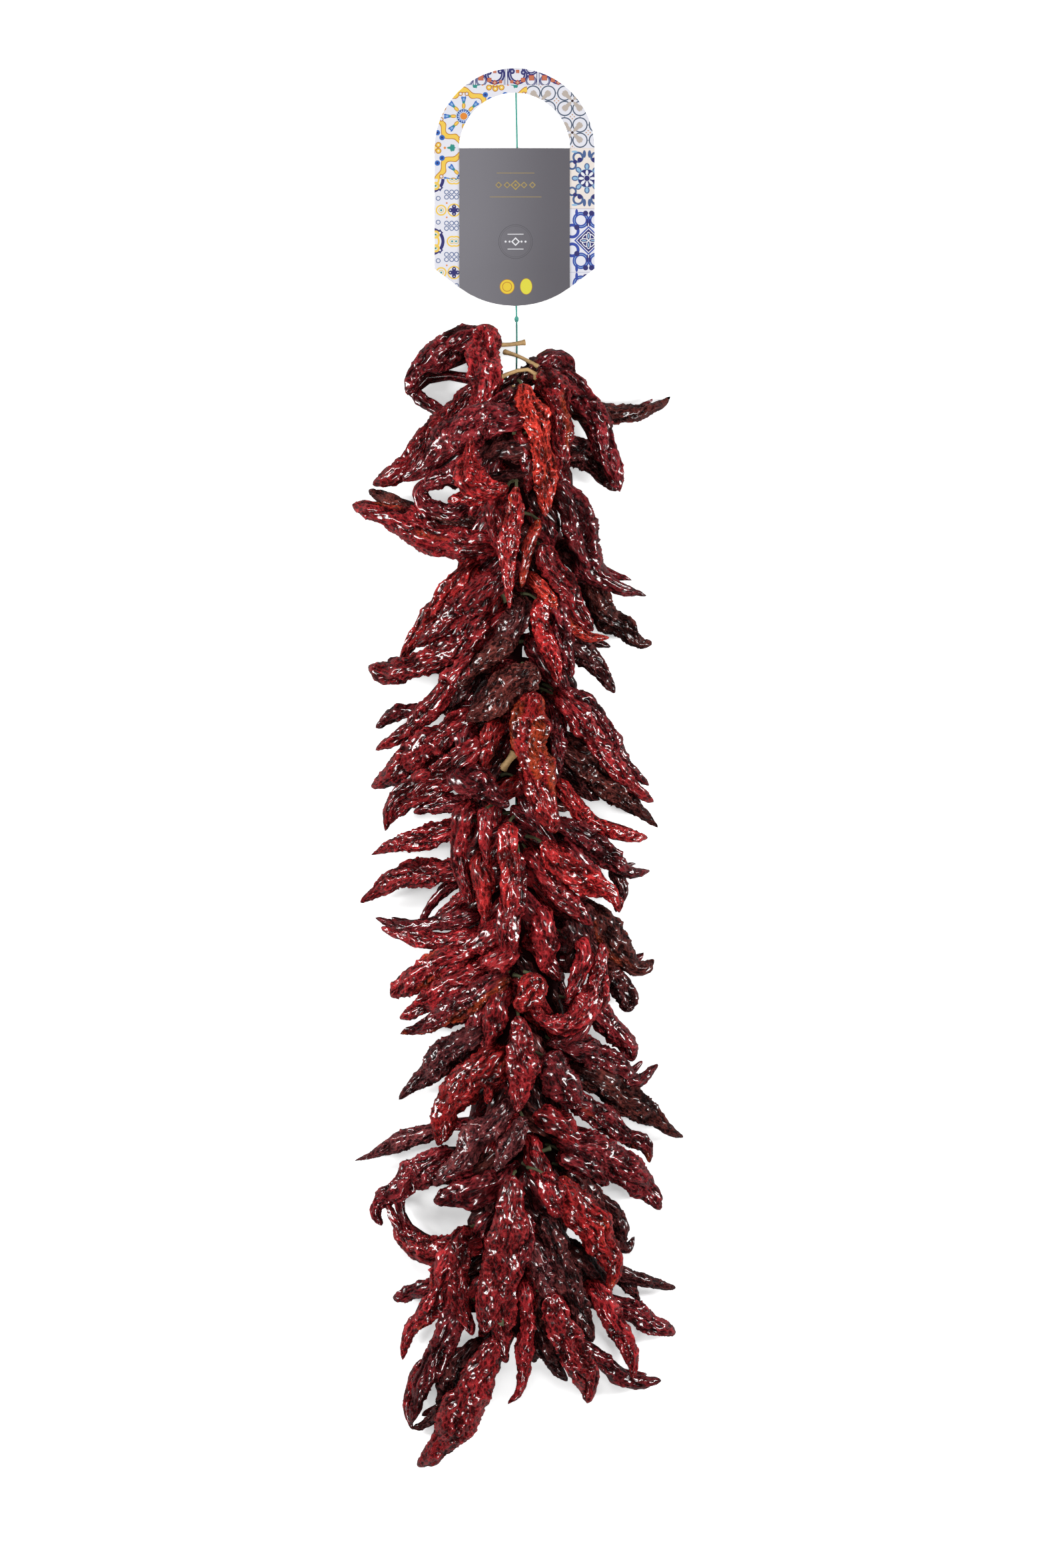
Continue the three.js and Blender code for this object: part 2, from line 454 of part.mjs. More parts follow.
function chilliSolid() {
  let core = facingOut(coreSolid(CORE));
  for (const [x, y, halfX, halfY] of GAPS) {
    core = core.subtract(boxSolid([x, y, WELL_MIDDLE_Z], [halfX, halfY, WELL_HALF_HEIGHT]));
  }
  const pods = PODS.map((row) => podSolid(podPath(row), row[1]));
  const wide = PODS.filter((row) => Math.max(...row.slice(2).map(([x]) => Math.abs(x))) > BACK_POD_MIN_REACH);
  const backPods = wide.filter((_, i) => i % BACK_POD_STEP === 0).map(backPod);
  const stems = STEMS.map(stemSolid);
  const joined = [...pods, ...backPods, ...stems].map(facingOut).reduce((all, piece) => all.add(piece), core);
  const table = boxSolid([0, 0, -TABLE_HALF_SIZE[2]], TABLE_HALF_SIZE);
  const channelRoute = [...FREE_TWINE.slice(-4, -1), ...HELD_TWINE, CHANNEL_END];
  const channel = toSolid(bar(channelRoute, CHANNEL_RADIUS, CHANNEL_SIDES, CHANNEL_STEPS));
  return mainBody(joined.subtract(table).subtract(channel));
}

// ---- card and its front panel ---------------------------------------------------------------------

/** Height of the card's underside: it bows gently over the twine. */
function bowAt(x) {
  return CARD_BOW * (1 - ((x - CARD_CENTRE_X) / CARD_HALF_WIDTH) ** 2);
}

/** Lower edge of the card at a distance from its middle line. */
function bottomEdge(offset) {
  const away = Math.abs(offset);
  if (away <= CARD_FOOT_HALF_WIDTH) {
    return CARD_BOTTOM_Y + CARD_BOTTOM_RADIUS - Math.sqrt(CARD_BOTTOM_RADIUS ** 2 - offset ** 2);
  }
  const footY = bottomEdge(CARD_FOOT_HALF_WIDTH);
  const share = (away - CARD_FOOT_HALF_WIDTH) / (CARD_HALF_WIDTH - CARD_FOOT_HALF_WIDTH);
  return footY + (CARD_LEG_END_Y - footY) * share;
}

/** A thin board from patches of quads in the plane, bowed, with walls along every open edge. */
function board(patches, lift, thickness) {
  const points = [];
  const places = new Map();
  const triangles = [];
  const cornerAt = ([x, y]) => {
    const key = `${x.toFixed(3)},${y.toFixed(3)}`;
    if (!places.has(key)) places.set(key, points.push([x, y]) - 1);
    return places.get(key);
  };
  for (const rows of patches) {
    for (let i = 1; i < rows.length; i += 1) {
      for (let j = 1; j < rows[i].length; j += 1) {
        const [a, b, c, d] = [rows[i - 1][j - 1], rows[i - 1][j], rows[i][j], rows[i][j - 1]].map(cornerAt);
        triangles.push([a, b, c], [a, c, d]);
      }
    }
  }
  const edges = new Set(triangles.flatMap(([a, b, c]) => [`${a} ${b}`, `${b} ${c}`, `${c} ${a}`]));
  const index = [];
  const count = points.length;
  for (const [a, b, c] of triangles) index.push(a, b, c, c + count, b + count, a + count);
  for (const edge of edges) {
    const [a, b] = edge.split(' ').map(Number);
    if (!edges.has(`${b} ${a}`)) index.push(b, a, a + count, b, a + count, b + count);
  }
  const level = (height) => points.flatMap(([x, y]) => [x, y, bowAt(x) + lift + height]);
  const geometry = new THREE.BufferGeometry();
  const position = Float32Array.from([...level(thickness), ...level(0)]);
  geometry.setAttribute('position', new THREE.BufferAttribute(position, 3));
  geometry.setIndex(index);
  geometry.computeVertexNormals();
  return geometry;
}

function cardGeometry() {
  const ringMiddle = (CARD_HALF_WIDTH + CARD_WINDOW_RADIUS) / 2;
  const offsets = [CARD_WINDOW_RADIUS, ringMiddle, CARD_HALF_WIDTH];
  const across = [...offsets.map((v) => -v).reverse(), ...PLATE_COLUMNS, ...offsets];
  const column = (offset) => [
    [CARD_CENTRE_X + offset, bottomEdge(offset)],
    [CARD_CENTRE_X + offset, CARD_SPRING_Y],
  ];
  const columns = across.map(column);
  const plate = [columns.map(([low]) => low), columns.map(([, high]) => high)];
  const arch = Array.from({ length: CARD_ARCH_STEPS + 1 }, (_, i) => {
    const angle = (i / CARD_ARCH_STEPS) * Math.PI;
    return offsets.map((radius) => [
      CARD_CENTRE_X + radius * Math.cos(angle),
      CARD_SPRING_Y + radius * Math.sin(angle),
    ]);
  });
  return board([plate, arch], 0, CARD_THICKNESS);
}

function panelGeometry() {
  const offsets = Array.from({ length: PANEL_COLUMNS + 1 }, (_, i) => (
    PANEL_HALF_WIDTH * ((2 * i) / PANEL_COLUMNS - 1)
  ));
  const low = offsets.map((offset) => [CARD_CENTRE_X + offset, bottomEdge(offset)]);
  const high = offsets.map((offset) => [CARD_CENTRE_X + offset, CARD_SPRING_Y]);
  return board([[low, high]], CARD_THICKNESS + FIT_GAP, PANEL_THICKNESS);
}

// ---- knots ----------------------------------------------------------------------------------------

/** A small knot around the twine at a place along its route. */
function knotGeometry(route, steps, { y, halfAcross, halfAlong }) {
  const curve = curveThrough(route);
  const samples = Array.from({ length: ROUTE_SAMPLES + 1 }, (_, i) => curve.getPointAt(i / ROUTE_SAMPLES));
  const place = samples.reduce((best, p) => (Math.abs(p.y - y) < Math.abs(best.y - y) ? p : best));
  const bead = new THREE.SphereGeometry(1, KNOT_SIDES, KNOT_RINGS);
  bead.scale(halfAcross, halfAlong, halfAcross);
  bead.translate(place.x, place.y, place.z);
  const channel = toSolid(bar(route, TWINE_RADIUS + FIT_GAP, TWINE_SIDES, steps));
  return toGeometry(toSolid(bead).subtract(channel));
}

/** The knot that ends the twine, pressed flat behind the top of the card. */
function endKnotGeometry({ halfAcross, halfAlong, halfDepth, middleZ }) {
  const [x, y] = FREE_TWINE[0];
  const knot = new THREE.SphereGeometry(1, KNOT_SIDES, KNOT_RINGS);
  knot.scale(halfAcross, halfAlong, halfDepth);
  knot.translate(x, y + halfAlong + FIT_GAP, middleZ);
  return knot;
}

// ---- assembly -------------------------------------------------------------------------------------

const group = new THREE.Group();

function addPiece(name, geometry, material) {
  const mesh = new THREE.Mesh(geometry, material);
  mesh.name = name;
  group.add(mesh);
}

addPiece('chillies', toGeometry(chilliSolid()), chilliSkin);
addPiece('card', cardGeometry(), printedCard);
addPiece('panel', panelGeometry(), greyCard);
addPiece('twine_free', bar(FREE_TWINE, TWINE_RADIUS, TWINE_SIDES, FREE_TWINE_STEPS), greenTwine);
addPiece('twine_held', bar(HELD_TWINE, TWINE_RADIUS, TWINE_SIDES, HELD_TWINE_STEPS), greenTwine);
addPiece('knot_middle', knotGeometry(FREE_TWINE, FREE_TWINE_STEPS, MIDDLE_KNOT), greenTwine);
addPiece('knot_inner', knotGeometry(HELD_TWINE, HELD_TWINE_STEPS, INNER_KNOT), greenTwine);
addPiece('knot_end', endKnotGeometry(END_KNOT), greenTwine);

export default group;
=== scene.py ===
import math
import random

import bpy
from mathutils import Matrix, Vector, noise


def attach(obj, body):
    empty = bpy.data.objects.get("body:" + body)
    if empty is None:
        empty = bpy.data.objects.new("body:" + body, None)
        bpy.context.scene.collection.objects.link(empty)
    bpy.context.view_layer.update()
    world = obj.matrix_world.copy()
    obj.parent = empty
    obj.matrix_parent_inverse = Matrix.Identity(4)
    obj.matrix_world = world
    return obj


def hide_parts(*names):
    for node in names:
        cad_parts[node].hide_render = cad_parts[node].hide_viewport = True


bl_info = {
    "name": "String of Dried Chillies",
    "version": (1, 0, 0),
    "blender": (4, 5, 0),
    "location": "View3D > Sidebar > Chillies",
    "description": "Dried chilli pods tied to a twine, with a printed hang card",
    "category": "Object",
}

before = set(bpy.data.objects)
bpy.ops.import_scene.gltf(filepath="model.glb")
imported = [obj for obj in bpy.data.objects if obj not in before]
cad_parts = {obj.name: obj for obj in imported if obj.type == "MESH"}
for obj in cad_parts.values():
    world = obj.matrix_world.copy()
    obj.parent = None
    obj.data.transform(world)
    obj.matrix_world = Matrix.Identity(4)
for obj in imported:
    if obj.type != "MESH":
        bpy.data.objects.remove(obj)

MM = 0.001
BODY = "root"
TABLE_GAP = 0.2 * MM
GUIDE_STEPS = 8  # steps of a guide curve from one point to the next

# ---- the bunch: places and sizes in millimetres ---------------------------------------------------

# height of the crest at places along the twine
CREST = [(455, 32), (400, 66), (340, 102), (280, 118), (-460, 118), (-560, 100), (-640, 70), (-710, 34)]
SIDE_DROOP = 0.0022  # mm of fall for each mm squared away from the twine
POD_FLATNESS, POD_MIN_DEPTH = 0.62, 3.0  # depth of a pod: this share of its width, and so much more
WIDTH_PLACES = (0.15, 0.5, 0.85)  # where the three widths of a row are measured along the pod

# Each pod: its look, its depth under the crest at shoulder and tip, three widths, then shoulder, bends
# and tip. A look is a colour (g burgundy, c crimson, r bright red, o orange-red, b brown, k near black,
# p purple-grey), a skin (s long smooth folds, m wrinkled, f finely crumpled) and tenths of orange.
TIERS = {
    "top": [
        # top pair and the pods around the first stems
        ("gs", (14, 22), (34, 36, 20), (-20, 427), (-46, 430), (-73, 417), (-98, 400), (-110, 374)),
        ("cf", (8, 14), (34, 34, 26), (-31, 441), (-33, 405), (-32, 377), (-44, 355)),
        ("cf", (24, 34), (24, 24, 20), (-42, 376), (-64, 356), (-90, 328), (-114, 300), (-146, 284)),
        ("gm", (36, 46), (15, 15, 12), (-104, 381), (-86, 363), (-58, 349)),
        ("km", (30, 30), (26, 22, 14), (14, 395), (-8, 383), (-24, 363)),
        ("gm", (24, 28), (20, 26, 15), (19, 401), (36, 408), (51, 395), (59, 372)),
        ("gs", (20, 26), (27, 25, 22), (30, 399), (54, 386), (74, 359), (89, 323), (104, 275)),
        ("bm", (44, 34), (24, 22, 10), (48, 362), (80, 359), (112, 356), (138, 363), (156, 376)),
        ("km", (44, 44), (36, 31, 17), (40, 320), (66, 315), (85, 297), (101, 277)),
        ("om3", (8, 8), (30, 21, 20), (6, 381), (14, 359), (25, 332), (27, 302), (29, 249)),
        ("cm4", (16, 22), (34, 24, 17), (34, 383), (43, 355), (44, 322), (47, 281)),
    ],
    "second": [
        # second tier, left
        ("gm", (12, 20), (22, 24, 16), (-4, 369), (-20, 363), (-34, 349)),
        ("gf", (12, 26), (34, 42, 20), (-3, 349), (-30, 349), (-60, 335), (-86, 308), (-116, 287)),
        ("rf", (6, 8), (18, 34, 10), (-10, 279), (-32, 280), (-47, 292), (-48, 313), (-44, 333)),
        ("km", (22, 26), (26, 24, 15), (10, 319), (-15, 315), (-40, 303)),
        ("km", (26, 30), (24, 22, 16), (16, 295), (-10, 291), (-38, 291)),
        ("cm", (20, 22), (20, 20, 16), (8, 327), (13, 299), (10, 273)),
        ("gm", (28, 30), (28, 28, 20), (-42, 302), (-68, 292), (-96, 281)),
        ("gm", (34, 34), (22, 20, 16), (-50, 265), (-72, 258), (-92, 267), (-95, 281), (-78, 285)),
        ("cm3", (26, 28), (34, 33, 24), (-28, 223), (-60, 224), (-100, 239), (-136, 257), (-167, 266)),
        ("bm", (36, 38), (22, 20, 18), (-30, 243), (-62, 247), (-98, 254), (-126, 267), (-150, 281)),
        ("rm", (26, 28), (22, 20, 14), (-26, 274), (-48, 270), (-70, 267)),
        ("cm", (14, 16), (20, 24, 14), (-20, 265), (-21, 239), (-14, 209)),
        # front of the second tier
        ("rm3", (0, 0), (18, 20, 9), (0, 279), (-3, 252), (-9, 222), (-8, 192), (-7, 157)),
        ("om4", (8, 2), (13, 13, 8), (22, 247), (15, 229), (10, 209), (5, 179)),
        # second tier, right
        ("gs", (20, 30), (34, 36, 13), (46, 273), (61, 243), (68, 212), (90, 188), (132, 173)),
        ("bm", (38, 40), (24, 32, 16), (77, 177), (84, 157), (105, 141), (124, 126), (137, 127)),
        ("cs", (8, 16), (26, 26, 20), (26, 221), (38, 197), (54, 169), (77, 136)),
        ("om4", (12, 24), (16, 17, 10), (20, 184), (36, 165), (52, 145), (70, 133), (94, 131)),
        ("km", (44, 46), (16, 14, 9), (58, 133), (78, 126), (95, 122)),
        ("km", (34, 38), (30, 27, 14), (54, 127), (74, 108), (89, 90), (99, 75)),
        ("rm", (10, 16), (22, 17, 14), (22, 167), (26, 142), (34, 115), (43, 83)),
        ("gm", (18, 24), (22, 21, 15), (41, 163), (46, 135), (51, 109), (55, 89)),
        ("km", (36, 38), (26, 26, 18), (56, 214), (72, 192), (84, 172)),
    ],
    "third": [
        # third tier, left
        ("rs1", (22, 34), (27, 24, 14), (-48, 198), (-68, 174), (-89, 148), (-109, 120), (-117, 104)),
        ("cs", (14, 28), (30, 31, 18), (-28, 183), (-54, 159), (-78, 139), (-102, 121)),
        ("cm", (20, 34), (28, 28, 26), (-36, 147), (-62, 121), (-98, 104), (-130, 97), (-150, 104)),
        ("gm", (14, 18), (26, 26, 18), (-12, 197), (-32, 173), (-46, 147)),
        ("kf", (12, 16), (24, 28, 18), (4, 155), (-10, 133), (-34, 109)),
        ("cs", (16, 30), (26, 22, 15), (-46, 110), (-66, 85), (-88, 62), (-108, 38), (-143, 18)),
        ("gm", (38, 36), (18, 17, 10), (-96, 60), (-118, 55), (-142, 41)),
        ("cm", (22, 34), (32, 34, 22), (-54, 46), (-80, 29), (-105, 9), (-129, -9), (-147, -19)),
        ("cs", (14, 28), (28, 26, 15), (-44, 20), (-68, 1), (-98, -17), (-124, -35), (-132, -64)),
        ("cm", (20, 32), (18, 17, 11), (-34, -2), (-62, -15), (-95, -27), (-117, -40), (-132, -58)),
        ("gm", (30, 34), (24, 22, 12), (-50, -33), (-76, -36), (-104, -44)),
        ("bm", (2, 8), (37, 38, 23), (16, 97), (-8, 81), (-30, 63), (-51, 47)),
        ("bf", (8, 14), (22, 20, 12), (-6, 128), (-34, 106), (-60, 81)),
        ("rm", (16, 14), (22, 26, 16), (-22, 39), (-29, 17), (-36, -7)),
        ("gm", (20, 24), (26, 25, 14), (-52, 29), (-49, 7), (-62, -13)),
        ("gs", (12, 8), (24, 32, 18), (-58, -11), (-36, -18), (-6, -38)),
        ("km", (24, 28), (26, 26, 18), (-38, 98), (-58, 76), (-72, 52)),
        # third tier, front and right
        ("rf6", (2, 2), (40, 33, 27), (16, 71), (13, 42), (16, 7), (25, -25), (39, -66)),
        ("cm", (16, 30), (25, 23, 16), (49, 65), (69, 41), (92, 13), (114, -15), (139, -34)),
        ("gm", (22, 34), (20, 18, 13), (52, 73), (74, 62), (90, 37), (106, 9), (134, -18)),
        ("bm", (40, 40), (36, 39, 13), (53, 21), (77, -1), (101, -21), (122, -39), (143, -60)),
        ("km", (46, 46), (28, 26, 16), (46, 0), (64, -18), (84, -32)),
        ("rf", (26, 32), (20, 19, 13), (49, -21), (66, -47), (90, -61), (112, -67), (133, -69)),
        ("gm", (30, 32), (18, 18, 12), (36, 63), (42, 27), (40, -17)),
    ],
    "fourth": [
        # fourth tier, left
        ("cm", (32, 32), (25, 25, 11), (-60, -58), (-86, -67), (-115, -73), (-147, -87)),
        ("cm", (30, 34), (22, 29, 14), (-58, -101), (-85, -103), (-112, -106), (-136, -120), (-158, -135)),
        ("gm", (44, 46), (14, 13, 10), (-57, -112), (-76, -126), (-88, -140), (-97, -154)),
        ("cm", (30, 34), (20, 18, 12), (-48, -128), (-66, -140), (-84, -152)),
        ("gm", (28, 36), (19, 16, 12), (-48, -148), (-78, -155), (-108, -158), (-143, -149)),
        ("cm3", (30, 36), (20, 18, 12), (-48, -167), (-80, -171), (-110, -168), (-137, -158)),
        ("cs", (12, 18), (22, 20, 16), (-51, -43), (-56, -73), (-54, -103), (-47, -137)),
        ("cs", (10, 12), (19, 16, 8), (-33, -41), (-33, -68), (-30, -98)),
        ("rs", (14, 16), (23, 25, 16), (-34, -97), (-30, -121), (-32, -153)),
        # fourth tier, front
        ("rs", (6, 4), (24, 23, 16), (-8, -56), (-8, -83), (-7, -113), (-8, -145)),
        ("cm", (8, 4), (18, 21, 14), (2, -84), (1, -118), (-3, -152), (-2, -186)),
        ("cm", (12, 10), (15, 16, 12), (-12, -131), (-14, -158), (-11, -185)),
        # fourth tier, right
        ("rf1", (8, 16), (27, 29, 16), (28, -75), (52, -101), (78, -115), (99, -129), (103, -145)),
        ("cf", (16, 22), (24, 24, 17), (20, -93), (40, -121), (58, -141), (78, -157)),
        ("gf", (22, 26), (28, 26, 16), (56, -86), (76, -106), (92, -124)),
        ("gs", (18, 28), (22, 28, 11), (54, -59), (76, -75), (94, -89), (112, -103), (135, -102)),
        ("km", (40, 40), (17, 14, 10), (96, -97), (105, -118), (99, -144)),
        ("bm3", (34, 38), (30, 36, 16), (80, -146), (93, -169), (108, -188), (127, -199), (139, -190)),
        ("cm", (18, 20), (21, 29, 20), (26, -149), (30, -175), (28, -205)),
        ("km", (32, 34), (28, 26, 18), (56, -155), (60, -179), (50, -205)),
        ("km", (36, 40), (28, 28, 20), (66, -150), (75, -178), (72, -206)),
    ],
    "fifth": [
        # fifth tier, left
        ("cm", (20, 28), (24, 26, 16), (-18, -161), (-40, -174), (-64, -187)),
        ("cm", (24, 28), (24, 25, 16), (-14, -184), (-32, -196), (-56, -206)),
        ("cm4", (26, 36), (26, 29, 24), (-56, -188), (-85, -199), (-108, -213), (-127, -229)),
        ("cm", (24, 34), (28, 29, 16), (-46, -208), (-74, -222), (-98, -238), (-118, -251)),
        ("gm4", (16, 30), (28, 31, 13), (-22, -216), (-50, -233), (-82, -252), (-118, -266)),
        ("pm", (20, 34), (28, 32, 15), (-40, -268), (-62, -282), (-87, -303), (-119, -332)),
        ("cm", (12, 16), (22, 26, 16), (-17, -233), (-24, -258), (-31, -283)),
        ("gm", (22, 24), (21, 21, 15), (-36, -239), (-43, -261), (-54, -277)),
        # fifth tier, front
        ("cf", (6, 4), (23, 38, 22), (2, -249), (4, -275), (3, -303), (1, -343)),
        ("rs", (6, 6), (30, 32, 22), (22, -210), (11, -225), (2, -243)),
        ("cm2", (14, 10), (17, 28, 18), (86, -175), (82, -208), (68, -241), (42, -255), (14, -243)),
        ("cm", (20, 14), (18, 20, 14), (68, -181), (61, -209), (49, -235)),
        ("gs", (18, 20), (18, 22, 17), (68, -253), (54, -269), (28, -275)),
        # fifth tier, right
        ("km", (42, 44), (22, 25, 21), (95, -201), (107, -223), (114, -244)),
        ("gm", (32, 36), (26, 27, 22), (74, -240), (95, -257), (110, -275), (117, -294)),
        ("gm", (24, 34), (30, 31, 12), (50, -276), (80, -286), (104, -301), (120, -311), (143, -295)),
        ("bm", (32, 38), (31, 36, 13), (68, -304), (98, -322), (126, -342), (150, -360), (169, -371)),
        ("gf", (8, 16), (38, 37, 24), (32, -289), (47, -314), (64, -339)),
        ("gm4", (22, 32), (26, 25, 15), (64, -333), (84, -347), (106, -363), (128, -377), (134, -396)),
    ],
    "sixth": [
        # sixth tier, left
        ("rm3", (12, 28), (36, 39, 26), (-25, -291), (-50, -314), (-68, -343), (-79, -378)),
        ("rm", (16, 18), (20, 21, 13), (-12, -293), (-24, -309), (-30, -335)),
        ("pm", (38, 36), (20, 19, 8), (-80, -361), (-110, -371), (-138, -385), (-164, -394)),
        ("pf", (8, 12), (20, 25, 14), (7, -349), (-4, -371), (-22, -401)),
        ("pm", (12, 22), (23, 28, 18), (-15, -343), (-38, -367), (-60, -393), (-84, -417)),
        ("gm", (26, 34), (26, 28, 15), (-78, -390), (-101, -401), (-121, -421), (-141, -443), (-134, -459)),
        ("gm", (34, 34), (14, 12, 9), (-110, -399), (-118, -428), (-112, -461)),
        ("gf", (24, 30), (36, 34, 22), (-34, -418), (-58, -426), (-84, -432)),
        ("cm", (26, 34), (34, 29, 11), (-50, -475), (-79, -481), (-102, -474), (-121, -453), (-132, -429)),
        ("gm", (30, 34), (32, 32, 22), (-48, -393), (-84, -405), (-112, -416)),
        # sixth tier, front
        ("cf", (6, 10), (33, 44, 28), (-4, -409), (-6, -443), (-10, -478), (-22, -515), (-32, -565)),
        ("gm", (10, 12), (24, 22, 10), (8, -443), (4, -478), (-6, -508), (-11, -535)),
        ("cs", (8, 12), (26, 30, 22), (30, -405), (36, -427), (46, -447)),
        ("rs3", (8, 18), (34, 38, 19), (44, -411), (62, -437), (82, -466), (97, -496), (92, -522)),
        ("ks", (14, 16), (23, 26, 22), (31, -453), (42, -485), (56, -523), (77, -575)),
        ("pm", (14, 16), (22, 24, 20), (21, -479), (29, -509), (42, -537)),
        # sixth tier, right
        ("cm", (20, 24), (27, 29, 20), (34, -348), (49, -360), (66, -374)),
        ("gm", (28, 36), (34, 39, 26), (54, -370), (84, -386), (112, -405), (135, -425), (145, -444)),
        ("gm", (20, 26), (30, 28, 18), (60, -389), (79, -404), (93, -416)),
        ("km", (34, 36), (20, 20, 12), (82, -432), (102, -452), (108, -480), (119, -467)),
        ("km", (36, 36), (17, 14, 9), (96, -500), (120, -511), (142, -517), (161, -522)),
        ("km", (46, 46), (18, 16, 8), (98, -506), (114, -521), (124, -535)),
        ("km", (30, 34), (30, 28, 20), (64, -410), (82, -440), (90, -468)),
        ("km", (34, 40), (26, 26, 18), (58, -482), (78, -504), (96, -524)),
    ],
    "last": [
        # last tier
        ("gm", (44, 44), (21, 20, 19), (-82, -518), (-105, -526), (-125, -532)),
        ("cm2", (18, 30), (34, 26, 12), (-64, -487), (-76, -518), (-91, -543), (-108, -564), (-115, -595)),
        ("cm", (12, 16), (22, 20, 18), (-56, -471), (-57, -508), (-54, -538), (-43, -567)),
        ("gs", (24, 20), (28, 28, 14), (-58, -543), (-77, -578), (-90, -608), (-102, -642), (-107, -661)),
        ("cm", (30, 22), (12, 11, 8), (-94, -593), (-105, -615), (-109, -643), (-105, -665)),
        ("km", (30, 24), (22, 24, 13), (-46, -581), (-66, -607), (-71, -633), (-85, -653), (-107, -665)),
        ("cf", (8, 10), (34, 43, 24), (-24, -572), (-38, -605), (-55, -644), (-77, -680), (-101, -703)),
        ("cm", (14, 14), (18, 19, 10), (9, -522), (10, -556), (8, -594), (3, -623), (-10, -637)),
        ("cm", (12, 18), (22, 24, 16), (-10, -523), (-16, -559), (-10, -595)),
        ("cs", (8, 12), (33, 33, 23), (35, -527), (46, -560), (59, -592), (71, -614), (71, -637)),
        ("km", (30, 28), (28, 27, 14), (22, -563), (34, -593), (52, -614)),
        ("gm", (36, 22), (16, 18, 14), (62, -575), (86, -594), (108, -611), (128, -616), (147, -615)),
        ("cm", (26, 22), (24, 24, 14), (82, -523), (96, -551), (111, -575), (117, -598), (116, -615)),
        ("gm", (40, 30), (22, 24, 18), (94, -535), (118, -545), (140, -558), (161, -568)),
    ],
}

# ---- stems that show: dry or green, radius, then points with their height, in millimetres ----------

STEMS = [
    ("dry", 2.5, (-22, 426, 31), (-8, 426, 30), (9, 428.5, 29)),
    ("dry", 2.3, (-13, 419, 31), (2, 414, 36), (22, 403, 43)),
    ("dry", 2.4, (-24, 388, 56), (-16, 392, 58), (-4, 397, 58), (10, 400, 56), (18, 397, 54),
     (20, 390, 50)),
    ("dry", 2.0, (-2, 383, 62), (-6, 375, 66), (-12, 370, 64)),
    ("green", 2.0, (-4, 336, 82), (6, 334, 84), (16, 340, 84)),
    ("green", 2.4, (-30, 229, 84), (-22, 225, 90), (-12, 220, 90)),
    ("green", 2.6, (-21, 182, 92), (-15, 175, 96), (-10, 166, 96)),
    ("green", 1.9, (0, 161, 96), (12, 159, 96), (26, 156, 92)),
    ("green", 2.2, (2, 127, 88), (10, 127, 90), (20, 124, 88)),
    ("dry", 4.2, (-14, 0, 90), (-8, 8, 94), (-2, 16, 92)),
    ("green", 1.9, (-16, -6, 86), (-8, -5, 88), (2, -12, 84)),
    ("green", 1.9, (4, -8, 82), (-6, -14, 84), (-14, -20, 82)),
    ("green", 2.0, (-16, -45, 78), (0, -43, 80), (14, -48, 82), (26, -56, 86)),
    ("green", 2.0, (-4, -205, 88), (8, -208, 90), (24, -207, 88)),
    ("green", 2.4, (10, -384, 82), (22, -382, 86), (34, -378, 84)),
    ("green", 2.6, (6, -392, 78), (18, -400, 82), (30, -410, 84)),
    ("green", 3.0, (-16, -554, 94), (-12, -545, 96), (-9, -538, 94)),
]

# ---- mass of hidden pods, painted dark as shade, and the wells down to the table, in millimetres ---

CORE = [  # y, x of its middle, half width, height
    (378, 2, 32, 70), (325, 2, 46, 88), (265, -3, 52, 94), (150, 2, 45, 92), (10, 3, 48, 92),
    (-70, 1, 44, 92), (-150, 5, 55, 92), (-300, 4, 52, 92), (-450, 1, 52, 92), (-525, 4, 44, 88),
    (-574, 5, 38, 74),
]
CORE_SHARE = 0.74  # the core is drawn at this share of these sizes, and hidden pods cover it
CORE_END = 8  # its top end is drawn out to a point by this much
CORE_LIFT = 2  # how much higher it lies than its size asks
WELLS = [  # x, y, half width, half length
    (0, -40, 16, 22), (9, 148, 5, 12), (10, 118, 4, 5), (23, 100, 5, 5), (43, 11, 6, 8),
    (13, -119, 5, 5), (8, -206, 9, 7), (17, -354, 6, 12), (14, -407, 4, 6), (19, -431, 4, 5),
]

# ---- twine: the route of its free stretch and of the stretch the pods hold, in millimetres ---------

FREE_TWINE = [
    (-0.6, 689, 1.1), (-0.4, 672, 1), (0, 654, 1), (0.4, 636, 1), (0.6, 618, 1), (0.6, 600, 1),
    (0.5, 582, 1), (0.4, 564, 1), (0.2, 546, 1), (0, 528, 1), (-0.2, 510, 1), (-0.3, 494, 1),
    (-0.4, 480, 1), (-0.3, 467, 1.2), (0, 455, 4.2), (0.2, 443, 9.4), (0.3, 431, 15.4),
    (0.2, 419, 21.3), (0, 406, 27.4),
]
HELD_TWINE = [
    (0, 405.5, 27.7), (-0.5, 385, 38), (-0.5, 345, 50), (0, 280, 57), (0.5, 180, 59), (0, 80, 59),
    (-0.5, -46, 59), (0, -180, 59), (0.5, -300, 59), (0, -420, 58), (0, -500, 54), (0, -560, 48),
]

# ---- small tools ----------------------------------------------------------------------------------


def between(stations, x, rounded=False):
    """Value at x on a line through (x, value) stations in any order, straight or rounded at them."""
    rising = sorted(stations)
    if x <= rising[0][0]:
        return rising[0][1]
    for (x0, v0), (x1, v1) in zip(rising, rising[1:]):
        if x <= x1:
            share = (x - x0) / (x1 - x0)
            if rounded:
                share = share * share * (3 - 2 * share)
            return v0 + (v1 - v0) * share
    return rising[-1][1]


def select_only(piece):
    bpy.ops.object.select_all(action="DESELECT")
    piece.select_set(True)
    bpy.context.view_layer.objects.active = piece


def apply_modifiers(piece):
    select_only(piece)
    for modifier in list(piece.modifiers):
        bpy.ops.object.modifier_apply(modifier=modifier.name)


